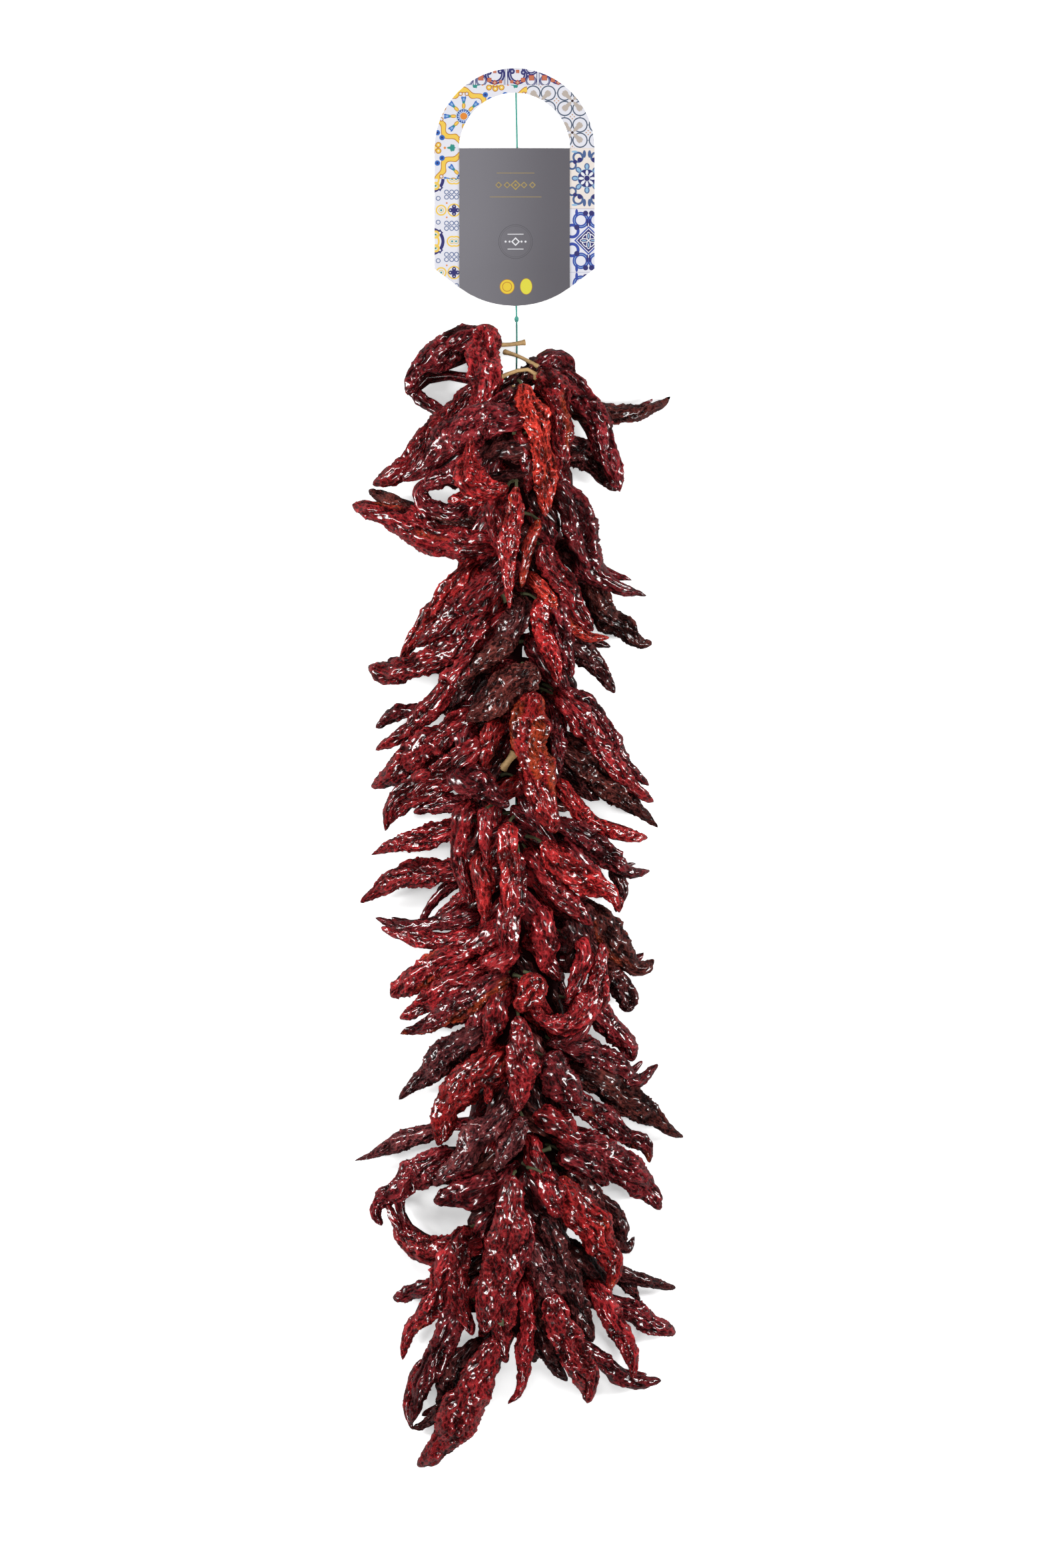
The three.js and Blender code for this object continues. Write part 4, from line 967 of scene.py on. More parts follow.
def skin_relief_group():
    """Small wrinkles of the skin: two nets of raised ridges over a soft grain."""
    tree, nodes, source, sink = new_group(
        "Skin relief", {"Place": "vector", "Grain": "value"}, {"Height": "value", "Ridge": "value"})
    warp = nodes.add("ShaderNodeTexNoise", {"Vector": source["Place"], "Scale": NET_WARP, "Detail": 2.0})
    bent = nodes.vector("MULTIPLY", warp.outputs[1], (NET_WARP_REACH,) * 3)
    place = nodes.vector("ADD", source["Place"], bent)
    height = nodes.math("MULTIPLY", nodes.noise(place, GRAIN_SCALE, detail=3.0), source["Grain"])
    ridges = []
    for along, across, width, tall in SKIN_NETS:
        long_cells = nodes.vector("MULTIPLY", place, (along, across, across))
        cells = nodes.add("ShaderNodeTexVoronoi", {"Vector": long_cells, "Scale": 1.0},
                          feature="DISTANCE_TO_EDGE")
        ridges.append(nodes.rise(cells.outputs["Distance"], 0.0, width, 1.0, 0.0))
        height = nodes.math("ADD", height, nodes.math("MULTIPLY", ridges[-1], tall))
    link(nodes, height, sink["Height"])
    link(nodes, ridges[0], sink["Ridge"])
    return tree


def skin_colour_group():
    """Colour of a dried pod: patches of two reds, painted highlights on ridges, painted shade in each
    crease, brown and orange places.
    """
    inputs = {"Place": "vector", "Swell": "value", "Ridge": "value", "Tone": "value", "Streak": "value",
              "Deep": "color", "Main": "color", "Light": "color", "Orange": "color", "Brown": "color",
              "Age": "value"}
    outputs = {"Color": "color", "Matt": "value", "Open": "value"}
    tree, nodes, source, sink = new_group("Skin colour", inputs, outputs)
    place = source["Place"]
    patches = nodes.rise(nodes.noise(place, PATCH_SCALE, detail=3.0, distortion=0.6), 0.36, 0.64)
    colour = nodes.mix(patches, source["Deep"], source["Main"])
    # painted highlights: the colour turns towards the pale Light colour on the ridges of the folds and of
    # the fine net
    ridges = nodes.math("MULTIPLY", nodes.rise(source["Swell"], 0.0, 0.9), RIDGE_HIGHLIGHT)
    colour = nodes.mix(ridges, colour, source["Light"])
    colour = nodes.mix(nodes.math("MULTIPLY", source["Ridge"], NET_HIGHLIGHT), colour, source["Light"])
    long_way = nodes.vector("MULTIPLY", place, STREAK_STRETCH)
    streaks = nodes.noise(long_way, 1.0, detail=3.0)
    start = nodes.math("SUBTRACT", STREAK_START, nodes.math("MULTIPLY", source["Streak"], STREAK_GAIN))
    orange = nodes.rise(nodes.math("SUBTRACT", streaks, start), 0.0, 0.1)
    colour = nodes.mix(nodes.math("MULTIPLY", orange, STREAK_SHARE), colour, source["Orange"])
    matt = nodes.rise(nodes.noise(place, MATT_SCALE, detail=4.0), 0.5, 0.68)
    matt = nodes.math("MULTIPLY", matt, source["Age"])
    colour = nodes.mix(matt, colour, source["Brown"])
    # painted shade: the colour darkens in each crease of the relief and in the cells of the fine net, and
    # grows brighter on the net's ridges as a painted highlight
    painted_shading = nodes.rise(source["Swell"], -1.0, 0.1, CREASE_SHADE, 1.0)
    painted_shading = nodes.math("MULTIPLY", painted_shading, nodes.rise(source["Ridge"], 0.0, 0.6, CELL_SHADE, NET_SHADE))
    tone = nodes.math("ADD", TONE, nodes.math("MULTIPLY", source["Tone"], TONE_SWING))
    value = nodes.math("MULTIPLY", painted_shading, tone)
    scaled = nodes.add("ShaderNodeVectorMath", {0: colour, "Scale": value}, operation="SCALE").outputs[0]
    link(nodes, scaled, sink["Color"])
    link(nodes, matt, sink["Matt"])
    link(nodes, nodes.rise(source["Swell"], -0.9, 0.1, CREASE_GLOSS, 1.0), sink["Open"])
    return tree


def skin_materials(settings):
    """One skin for each colour letter, from its colour, a deeper one, and a lighter one for the painted
    highlights on the ridges.
    """
    relief, tint = skin_relief_group(), skin_colour_group()
    made = {}
    for letter, (name, setting, age, gloss) in SKIN_KINDS.items():
        colour = getattr(settings, setting)
        # the pale colour of the painted highlights, with more pale sheen added on glossier skins
        light = [skin * gain + bloom * gloss for skin, gain, bloom in zip(colour, HIGHLIGHT_GAIN, HIGHLIGHT_SHEEN)]
        material, nodes, shader = new_material(
            name, Specular_IOR_Level=0.06, Coat_Roughness=0.17, Coat_IOR=1.55)
        place = nodes.attribute("skin_place", "Vector")
        wrinkles = nodes.add("ShaderNodeGroup", {"Place": place, "Grain": GRAIN_HEIGHT}, node_tree=relief)
        inputs = {
            "Place": place, "Swell": nodes.attribute("swell"), "Ridge": wrinkles.outputs["Ridge"],
            "Tone": nodes.attribute("tone"), "Streak": nodes.attribute("streak"), "Age": age,
            "Deep": shade(colour, *DEEP_SHARE), "Main": (*colour, 1), "Light": (*light, 1),
            "Orange": (*settings.orange, 1), "Brown": (*settings.brown, 1),
        }
        skin = nodes.add("ShaderNodeGroup", inputs, node_tree=tint)
        link(nodes, skin.outputs["Color"], shader.inputs["Base Color"])
        matt = skin.outputs["Matt"]
        uneven = nodes.math("MULTIPLY", nodes.noise(place, ROUGH_SCALE), ROUGH_UNEVEN)
        rough = nodes.math("ADD", nodes.math("MULTIPLY", matt, ROUGH_MATT), uneven)
        link(nodes, nodes.math("ADD", rough, ROUGH_LEAST), shader.inputs["Roughness"])
        coat = nodes.math("MULTIPLY", nodes.math("SUBTRACT", 1.0, matt), gloss)
        coat = nodes.math("MULTIPLY", coat, skin.outputs["Open"])
        link(nodes, coat, shader.inputs["Coat Weight"])
        link(nodes, nodes.bump(wrinkles.outputs["Height"], RELIEF_DEPTH), shader.inputs["Normal"])
        made[letter] = material
    return made


# ---- laying the pods, places and sizes in millimetres ----------------------------------------------

# A pod that starts deeper than TUCK_FROM_DEPTH, less than TUCK_REACH from the twine and below TUCK_BELOW
# has its shoulder drawn on, inward and down, so that it lies under the pods above.
TUCK_FROM_DEPTH, TUCK_REACH, TUCK_BELOW = 10, 85, 398
TUCK_LENGTH, TUCK_FALL, TUCK_INWARD, TUCK_RISE = 15, 13, 0.8, 20
LOWEST_ROOT = 16

# Rows that reach out further than this have a lower copy on the table side, with these shares of their
# height, width and length. Its root is near the twine and a little higher.
BACK_FROM_REACH, BACK_HEIGHT, BACK_WIDTH, BACK_LENGTH, BACK_LOWEST = 100, 0.3, 0.85, 0.84, 9
BACK_ROOT, BACK_RISE = 26, 6

# Hidden pods that hang to one side and the other, from the top to the bottom of their range. Their
# "start" and "reach" are measured from the twine, "fall" from shoulder to tip, and "under" from the
# crest. Beyond "full" they have the share "ends" of their reach. Their bend has the share "out" of the
# reach and the share "down" of the fall. A pair is the least and the most of a random draw.
TIP_SHARE = 0.7  # width of their tips beside their shoulders
FILLERS = {
    "seed": 3, "range": (372, -548), "step": 10.8, "start": (-4, 20), "stagger": 5, "reach": (18, 60),
    "full": (340, -480), "ends": 0.7, "fall": (34, 62), "down": 0.45, "under": (24, 34),
    "sink": (6, 0, 8), "width": (20, 27), "looks": ("gm", "cm", "cf", "gm", "km", "bm", "gs", "rm"),
}
INNERS = {
    "seed": 5, "range": (372, -560), "step": 12.0, "start": (6, 18), "stagger": 6, "reach": (42, 60),
    "full": (372, -520), "ends": 0.75, "fall": (25, 60), "out": 0.6, "bend_fall": (8, 22), "under": 8,
    "height": (0.2, 0.7), "tip_height": (0.5, 0.9), "lowest": 10, "width": (18, 28),
    "looks": ("gm", "km", "cm", "km", "bm"),
}
LOWS = {
    "seed": 9, "count": 16, "start": 20, "stagger": 12, "reach": (46, 54), "fall": (30, 52),
    "out": 0.75, "down": 0.4, "heights": (18, 14, 10), "widths": (20, 22, 14), "looks": ("gm", "km"),
}


def crest_height(x, y):
    return between(CREST, y) - SIDE_DROOP * x * x


def pod_path(row):
    """Points of a pod in millimetres, its height taken from the crest of the bunch."""
    _, (first, last), _, *points = row
    steps = len(points) - 1
    return [(x, y, crest_height(x, y) - first - (last - first) * i / steps)
            for i, (x, y) in enumerate(points)]


def tucked(row):
    """Path of a pod whose shoulder is drawn on towards the twine, down under its neighbours."""
    path = pod_path(row)
    (x0, y0, z0), (x1, y1, _) = path[:2]
    if row[1][0] <= TUCK_FROM_DEPTH or abs(x0) > TUCK_REACH or y0 > TUCK_BELOW:
        return path
    back = Vector((x0 - x1, y0 - y1)).normalized() + Vector((-x0, TUCK_RISE)).normalized() * TUCK_INWARD
    back = back.normalized() * TUCK_LENGTH
    return [(x0 + back.x, y0 + back.y, max(z0 - TUCK_FALL, LOWEST_ROOT)), *path]


def every_row():
    return (row for rows in TIERS.values() for row in rows)


def from_side_to_side(kind):
    """Height and side of one hidden pod after another, down the twine."""
    y, side = kind["range"][0], 1
    while y > kind["range"][1]:
        yield y, side
        y -= kind["step"]
        side = -side


def full_reach(kind, y):
    """Share of its reach that a hidden pod has, less near the ends of the bunch."""
    top, bottom = kind["full"]
    return 1.0 if bottom <= y <= top else kind["ends"]


def tapered(width):
    return (width, width, width * TIP_SHARE)


class CHILLIES_OT_pods(bpy.types.Operator):
    """Make every pod that shows, tier by tier, and the ones behind and between them"""

    bl_idname = "chillies.pods"
    bl_label = "Pods"

    def execute(self, context):
        settings = context.scene.chilli_pods
        maker = PodMaker(settings, skin_materials(settings))
        for tier, rows in TIERS.items():
            self.join_pods([maker.make(row[0], tucked(row), row[2]) for row in rows], f"pods_{tier}")
        self.join_pods(self.filler_pods(maker), "pods_between")
        self.join_pods(self.back_pods(maker) + self.inner_pods(maker) + self.low_pods(maker), "pods_behind")
        maker.clear()
        return {"FINISHED"}

    def join_pods(self, pods, name):
        finish_piece(joined(pods, name), "chilli_skin", "chillies")

    def filler_pods(self, maker):
        """Pods that cover the middle of the string, just under the ones in front."""
        draw = random.Random(FILLERS["seed"])
        stagger = FILLERS["stagger"]
        pods = []
        for y, side in from_side_to_side(FILLERS):
            start = (side * draw.uniform(*FILLERS["start"]), y + draw.uniform(-stagger, stagger))
            reach = side * draw.uniform(*FILLERS["reach"]) * full_reach(FILLERS, y)
            fall = draw.uniform(*FILLERS["fall"])
            middle = ((start[0] + reach) / 2, start[1] - fall * FILLERS["down"])
            end = (reach, start[1] - fall)
            under = draw.uniform(*FILLERS["under"])
            path = [(px, py, crest_height(px, py) - under - sink)
                    for (px, py), sink in zip((start, middle, end), FILLERS["sink"])]
            width = draw.uniform(*FILLERS["width"])
            look = draw.choice(FILLERS["looks"])
            pods.append(maker.make(look, path, tapered(width), maker.filler))
        return pods

    def back_pods(self, maker):
        """Pods on the table side, under the ones that reach far out."""
        pods = []
        for row in every_row():
            path = pod_path(row)
            if max(abs(x) for x, _, _ in path) <= BACK_FROM_REACH:
                continue
            x0, y0, _ = path[0]
            lowered = [(x0 + (x - x0) * BACK_LENGTH, y0 + (y - y0) * BACK_LENGTH,
                        max(z * BACK_HEIGHT, BACK_LOWEST)) for x, y, z in path]
            if abs(x0) > BACK_ROOT:
                lowered.insert(0, (math.copysign(BACK_ROOT, x0), y0 + BACK_RISE, lowered[0][2] + BACK_RISE))
            pods.append(maker.make("gm", lowered, [width * BACK_WIDTH for width in row[2]], maker.hidden))
        return pods

    def inner_pods(self, maker):
        """Pods round the core, which fill the dark places between the ones that show."""
        draw = random.Random(INNERS["seed"])
        stagger = INNERS["stagger"]
        pods = []
        for y, side in from_side_to_side(INNERS):
            reach = draw.uniform(*INNERS["reach"]) * full_reach(INNERS, y)
            height = (between(CREST, y) - INNERS["under"]) * draw.uniform(*INNERS["height"])
            start = (side * draw.uniform(*INNERS["start"]), y + draw.uniform(-stagger, stagger), height)
            middle = (side * reach * INNERS["out"], y - draw.uniform(*INNERS["bend_fall"]), height)
            end = (side * reach, y - draw.uniform(*INNERS["fall"]),
                   max(height * draw.uniform(*INNERS["tip_height"]), INNERS["lowest"]))
            width = draw.uniform(*INNERS["width"])
            look = draw.choice(INNERS["looks"])
            pods.append(maker.make(look, [start, middle, end], tapered(width), maker.hidden))
        return pods

    def low_pods(self, maker):
        """Pods that lie on the table along both sides of the core."""
        draw = random.Random(LOWS["seed"])
        top, bottom = INNERS["range"]
        stagger = LOWS["stagger"]
        pods = []
        for step in range(LOWS["count"]):
            for side in (1, -1):
                reach, fall = draw.uniform(*LOWS["reach"]), draw.uniform(*LOWS["fall"])
                y = top + (bottom - top) * step / LOWS["count"] + draw.uniform(-stagger, stagger)
                places = ((side * LOWS["start"], y),
                          (side * reach * LOWS["out"], y - fall * LOWS["down"]), (side * reach, y - fall))
                path = [(*place, height) for place, height in zip(places, LOWS["heights"])]
                pods.append(maker.make(draw.choice(LOWS["looks"]), path, LOWS["widths"], maker.hidden))
        return pods


# ---- core and stems -------------------------------------------------------------------------------

CORE_SIDES = 16
LUMP_SPACING, LUMP_HEIGHT, LUMP_LEVEL = 22 * MM, 8 * MM, 0.6
WELL_MIDDLE, WELL_REACH = 60, 120  # mm, the wells are cut so far up and down from this height
STEM_SIDES = 8
# thickness of a stem at places along it: wide at the pod, thin in the middle, flared at its cut end
STEM_PROFILE = ((0.03, 1.3), (0.12, 1.05), (0.3, 0.85), (0.5, 0.8), (0.7, 0.85), (0.88, 1.0), (0.97, 1.25),
                (1.0, 1.1))
STEM_REACH = 62  # mm from the twine, pods that start further out hide their stems
# a tie runs from a pod's shoulder to this share of its distance from the twine, so much up and down
TIE_RADIUS, TIE_END, TIE_RISE, TIE_FALL, TIE_MIDDLE_RISE, TIE_MIDDLE_FALL = 1.7, 0.35, 8, 16, 6, 7


def core_material(settings):
    material, nodes, shader = new_material("shaded skin", roughness=0.9, Specular_IOR_Level=0.05)
    # painted shade: the core gets a mottled colour far darker than any skin, for the deep shade inside the
    # bunch
    place, dark = nodes.object_place(), settings.near_black
    colour = nodes.mix(nodes.noise(place, 60, detail=3), shade(dark, 0.2), shade(dark, 0.7))
    link(nodes, colour, shader.inputs["Base Color"])
    link(nodes, nodes.bump(nodes.noise(place, 110), 4 * MM), shader.inputs["Normal"])
    return material


class CHILLIES_OT_core(bpy.types.Operator):
    """Model the mass of hidden pods, painted dark as shade, with wells where the table shows through"""

    bl_idname = "chillies.core"
    bl_label = "Core"

    def execute(self, context):
        core = self.draw_out_mass()
        self.cut_wells(core)
        lumps = bpy.data.textures.new("lumps", "CLOUDS")
        lumps.noise_scale = LUMP_SPACING
        swell = core.modifiers.new("lumps", "DISPLACE")
        swell.texture, swell.strength, swell.mid_level = lumps, LUMP_HEIGHT, LUMP_LEVEL
        apply_modifiers(core)
        rest_on_table(core)
        core.data.materials.append(core_material(context.scene.chilli_pods))
        bpy.ops.object.shade_smooth()
        finish_piece(core, "chilli_skin", "chillies")
        return {"FINISHED"}

    def draw_out_mass(self):
        y, x, _, height = CORE[0]
        centre = Vector((x, y + CORE_END, height / 2)) * MM
        core = add_ring("core", CORE_SIDES, MM, "NGON", (math.pi / 2, 0, 0), centre)
        bpy.ops.object.mode_set(mode="EDIT")
        bpy.ops.mesh.select_all(action="SELECT")
        size = (1.0, 1.0)
        for y, x, half, height in CORE:
            place = Vector((x, y, height / 2 + CORE_LIFT)) * MM
            bpy.ops.mesh.extrude_region_move(TRANSFORM_OT_translate={"value": place - centre})
            wide, tall = half * CORE_SHARE, height / 2 * CORE_SHARE
            bpy.ops.transform.resize(value=(wide / size[0], 1, tall / size[1]), center_override=place)
            centre, size = place, (wide, tall)
        close_edit()
        smooth_shape(core, 2)
        return core

    def cut_wells(self, core):
        for x, y, half_x, half_y in WELLS:
            bpy.ops.object.select_all(action="DESELECT")
            bpy.ops.mesh.primitive_cube_add(size=2, location=(x * MM, y * MM, WELL_MIDDLE * MM))
            cutter = bpy.context.object
            cutter.scale = (half_x * MM, half_y * MM, WELL_REACH * MM)
            cut = core.modifiers.new("well", "BOOLEAN")
            cut.operation, cut.object, cut.solver = "DIFFERENCE", cutter, "EXACT"
            apply_modifiers(core)
            discard(cutter)


def model_straight_stem():
    """A straight stem along +X, one unit long, thicker at the pod and at its cut end."""
    stem = add_ring("straight_stem", STEM_SIDES, 1.0, "NGON")
    bpy.ops.object.mode_set(mode="EDIT")
    bpy.ops.mesh.select_all(action="SELECT")
    draw_out(STEM_PROFILE)
    close_edit()
    bpy.ops.object.shade_smooth()
    return stem


def stem_material(name, colour, dark):
    material, nodes, shader = new_material(name, roughness=0.7)
    grain = nodes.noise(nodes.object_place(), 420, detail=4)
    link(nodes, nodes.mix(grain, shade(colour, dark), shade(colour, 1.2)), shader.inputs["Base Color"])
    link(nodes, nodes.bump(grain, 0.4 * MM, 0.8), shader.inputs["Normal"])
    return material


class CHILLIES_OT_stems(bpy.types.Operator):
    """Add the stems that show and the stems that run from the pods near the twine towards it"""

    bl_idname = "chillies.stems"
    bl_label = "Stems"

    def execute(self, context):
        settings = context.scene.chilli_stems
        finish = {"dry": stem_material("straw stem", settings.straw, 0.45),
                  "green": stem_material("olive stem", settings.olive, 0.4)}
        straight = model_straight_stem()
        stems = [self.bent_stem(straight, radius, path, finish[kind]) for kind, radius, *path in STEMS]
        for row in every_row():
            x, y, z = tucked(row)[0]
            if abs(x) > STEM_REACH or y > TUCK_BELOW:
                continue
            inner = (x * TIE_END, y + TIE_RISE, max(z - TIE_FALL, LOWEST_ROOT))
            middle = ((x + inner[0]) / 2, y + TIE_MIDDLE_RISE, z - TIE_MIDDLE_FALL)
            stems.append(self.bent_stem(straight, TIE_RADIUS, [(x, y, z), middle, inner], finish["green"]))
        finish_piece(joined(stems, "stems"), "chilli_skin", "chillies")
        discard(straight)
        return {"FINISHED"}

    def bent_stem(self, straight, radius, path, material):
        guide, length = guide_curve([Vector(p) * MM for p in path])
        stem = copy_of(straight, "stem")
        set_vertices(stem, [Vector((p.x * length, p.y * radius * MM, p.z * radius * MM))
                            for p in vertex_array(stem)])
        bend_along(stem, guide)
        discard(guide)
        rest_on_table(stem)
        stem.data.materials.append(material)
        return stem


# ---- card -----------------------------------------------------------------------------------------


PAPER_WHITE = 0.6  # share of the light that the whitest print gives back


def ink(red, green, blue):
    """Linear colour of an ink on paper, from its 0 to 255 values."""
    return (*(PAPER_WHITE * ((v / 255 + 0.055) / 1.055) ** 2.4 for v in (red, green, blue)), 1.0)


GLAZE, CREAM, WHITE = ink(236, 236, 245), ink(244, 234, 226), ink(246, 246, 250)
NAVY, COBALT, BLUE, LIGHT_BLUE = (
    ink(42, 40, 112), ink(48, 72, 168), ink(44, 108, 196), ink(150, 192, 226))
SLATE, BLUE_GREY = ink(72, 88, 112), ink(74, 100, 150)
YELLOW, PALE_YELLOW, SEAL_YELLOW, LEMON = (
    ink(250, 208, 84), ink(236, 208, 112), ink(246, 214, 60), ink(238, 230, 70))
OCHRE, ORANGE, GOLD = ink(196, 130, 44), ink(238, 142, 48), ink(176, 152, 88)
TERRACOTTA, BRICK, BROWN = ink(204, 118, 84), ink(182, 74, 66), ink(62, 40, 42)
TEAL, BEIGE, SAND, LILAC = ink(44, 148, 138), ink(194, 182, 172), ink(208, 168, 136), ink(186, 188, 214)
GREY_INK, DARK_RULE = ink(112, 110, 115), ink(74, 72, 78)
# grey of the label with painted light at its left and painted shade at its right
LABEL_LIT, LABEL_SHADED = ink(127, 125, 132), ink(100, 97, 104)
CARD_STOCK, LABEL_STOCK = ink(228, 224, 216), ink(150, 148, 150)
BARE_SHADE = 0.86  # darker fibres of bare stock
INK_EDGE = 0.14  # mm over which one ink fades into the next
DIAGONAL = 0.707  # share of x and y in a direction half way between them


class Print:
    """Flat shapes printed one over another. Places and sizes are in millimetres."""

    def __init__(self, nodes, ground):
        self.nodes = nodes
        self.colour = ground

    def put(self, mask, colour):
        self.colour = self.nodes.mix(mask, self.colour, colour)

    def inside(self, distance, limit, edge=INK_EDGE):
        return self.nodes.rise(distance, limit - edge, limit + edge, 1.0, 0.0)

    def distance(self, place, centre):
        node = self.nodes.add("ShaderNodeVectorMath", {0: place, 1: (*centre, 0)}, operation="DISTANCE")
        return node.outputs["Value"]

    def disc(self, place, centre, radius, colour):
        self.put(self.inside(self.distance(place, centre), radius), colour)

    def ring(self, place, centre, radius, width, colour):
        off = self.nodes.math("SUBTRACT", self.distance(place, centre), radius)
        self.put(self.inside(self.nodes.math("ABSOLUTE", off), width / 2), colour)

    def oval(self, place, centre, radii, colour):
        local = self.nodes.vector("SUBTRACT", place, (*centre, 0))
        local = self.nodes.vector("DIVIDE", local, (*radii, 1))
        self.put(self.inside(self.distance(local, (0, 0)), 1, INK_EDGE / min(radii)), colour)

    def diamond(self, place, centre, radius, colour):
        local = self.nodes.vector("SUBTRACT", place, (*centre, 0))
        local = self.nodes.vector("ABSOLUTE", local)
        node = self.nodes.add("ShaderNodeVectorMath", {0: local, 1: (1, 1, 0)}, operation="DOT_PRODUCT")
        self.put(self.inside(node.outputs["Value"], radius), colour)

    def bar(self, place, centre, half_size, colour):
        local = self.nodes.vector("ABSOLUTE", self.nodes.vector("SUBTRACT", place, (*centre, 0)))
        x, y, _ = self.nodes.split(self.nodes.vector("SUBTRACT", local, (*half_size, 0)))
        self.put(self.inside(self.nodes.math("MAXIMUM", x, y), 0), colour)


def mirrored(nodes, place, centre, periods):
    """Place folded about a centre line, in each direction that has a period, so a motif repeats."""
    x, y, _ = nodes.split(place)
    x = nodes.math("SUBTRACT", x, centre[0])
    y = nodes.math("SUBTRACT", y, centre[1])
    if periods[0]:
        x = nodes.math("PINGPONG", x, periods[0] / 2)
    if periods[1]:
        y = nodes.math("PINGPONG", y, periods[1] / 2)
    return nodes.join(x, y)


def spokes(nodes, place, count):
    """Place as distance along and across the nearest of so many spokes."""
    x, y, _ = nodes.split(place)
    angle = nodes.math("PINGPONG", nodes.math("ARCTAN2", y, x), math.pi / count)
    length = nodes.add("ShaderNodeVectorMath", {0: place}, operation="LENGTH").outputs["Value"]
    along = nodes.math("MULTIPLY", length, nodes.math("COSINE", angle))
    across = nodes.math("MULTIPLY", length, nodes.math("SINE", angle))
    return nodes.join(along, across)


def quatrefoil_tiles(nodes, place):
    """Slate four-lobed outlines with beige leaves and a brown eye."""
    art = Print(nodes, GLAZE)
    at = mirrored(nodes, place, (56.2, 672.9), (31.9, 31.9))
    art.disc(at, (7.7, 7.7), 7.7, SLATE)
    art.disc(at, (7.7, 7.7), 6.5, GLAZE)
    art.disc(at, (0, 0), 4.2, GLAZE)
    leaf = spokes(nodes, at, 4)
    x, y, _ = nodes.split(at)
    diagonal = nodes.join(nodes.math("MULTIPLY", nodes.math("ADD", x, y), DIAGONAL),
                          nodes.math("MULTIPLY", nodes.math("SUBTRACT", x, y), DIAGONAL))
    art.oval(diagonal, (7.6, 0), (6.0, 2.0), BEIGE)
    art.oval(diagonal, (10.4, 1.8), (2.6, 1.3), BEIGE)
    art.oval(diagonal, (10.4, -1.8), (2.6, 1.3), BEIGE)
    art.disc(at, (0, 0), 1.4, BROWN)
    for centre in ((15.95, 2.0), (13.95, 0), (2.0, 15.95), (0, 13.95)):
        art.disc(at, centre, 0.75, SAND)
    art.bar(leaf, (15.95, 7.7), (0.9, 0.25), SLATE)
    return art.colour


def sunflower_tiles(nodes, place):
    """An orange and blue rosette with tulips, in a frame of yellow scrolls."""
    art = Print(nodes, GLAZE)
    at = mirrored(nodes, place, (-53.2, 657.4), (63.6, 63.6))
    around = spokes(nodes, at, 8)
    x, y, _ = nodes.split(at)
    wave = nodes.math("COSINE", nodes.math("MULTIPLY", nodes.math("ARCTAN2", y, x), 8))
    radius = nodes.math("ADD", nodes.math("MULTIPLY", wave, 2.2), 24.5)
    off = nodes.math("ABSOLUTE", nodes.math("SUBTRACT", art.distance(at, (0, 0)), radius))
    art.put(art.inside(off, 3.1), OCHRE)
    art.put(art.inside(off, 2.2), YELLOW)
    for centre in ((3.1, 22.5), (22.5, 3.1)):
        art.disc(at, centre, 2.2, OCHRE)
        art.disc(at, centre, 1.3, GLAZE)
    art.oval(around, (10.4, 0), (3.3, 1.8), OCHRE)
    art.oval(around, (10.4, 0), (2.5, 1.15), YELLOW)
    art.oval(around, (16.6, 0), (3.0, 1.9), BLUE)
    art.oval(around, (18.6, 1.7), (1.6, 0.8), BLUE)
    art.oval(around, (17.0, 0.5), (1.6, 0.5), LIGHT_BLUE)
    art.oval(around, (13.9, 0), (1.1, 1.4), TEAL)
    art.disc(at, (0, 0), 7.1, NAVY)
    many = spokes(nodes, at, 16)
    art.disc(many, (7.0, 0), 0.75, LIGHT_BLUE)
    art.disc(at, (0, 0), 6.1, BLUE)
    art.disc(many, (5.2, 0), 0.55, WHITE)
    art.disc(at, (0, 0), 4.2, WHITE)
    art.disc(at, (0, 0), 3.6, OCHRE)
    art.disc(at, (0, 0), 3.1, ORANGE)
    for centre in ((21.8, 21.5), (26.5, 16.5)):
        art.disc(at, centre, 2.7, BLUE)
        art.disc(at, centre, 1.1, NAVY)
    for centre, radii in (((12.5, 31.8), (4.4, 1.3)), ((12.5, 31.8), (1.2, 3.8)),
                          ((10.8, 30.1), (1.7, 1.7))):
        art.oval(at, centre, radii, TEAL)
    for centre in ((31.8, 27.6), (28.0, 31.8), (25.5, 28.8)):
        art.disc(at, centre, 3.0, OCHRE)
        art.disc(at, centre, 2.1, YELLOW)
        art.disc(at, centre, 0.7, WHITE)
    art.disc(at, (19.0, 31.8), 1.2, ORANGE)
    return art.colour


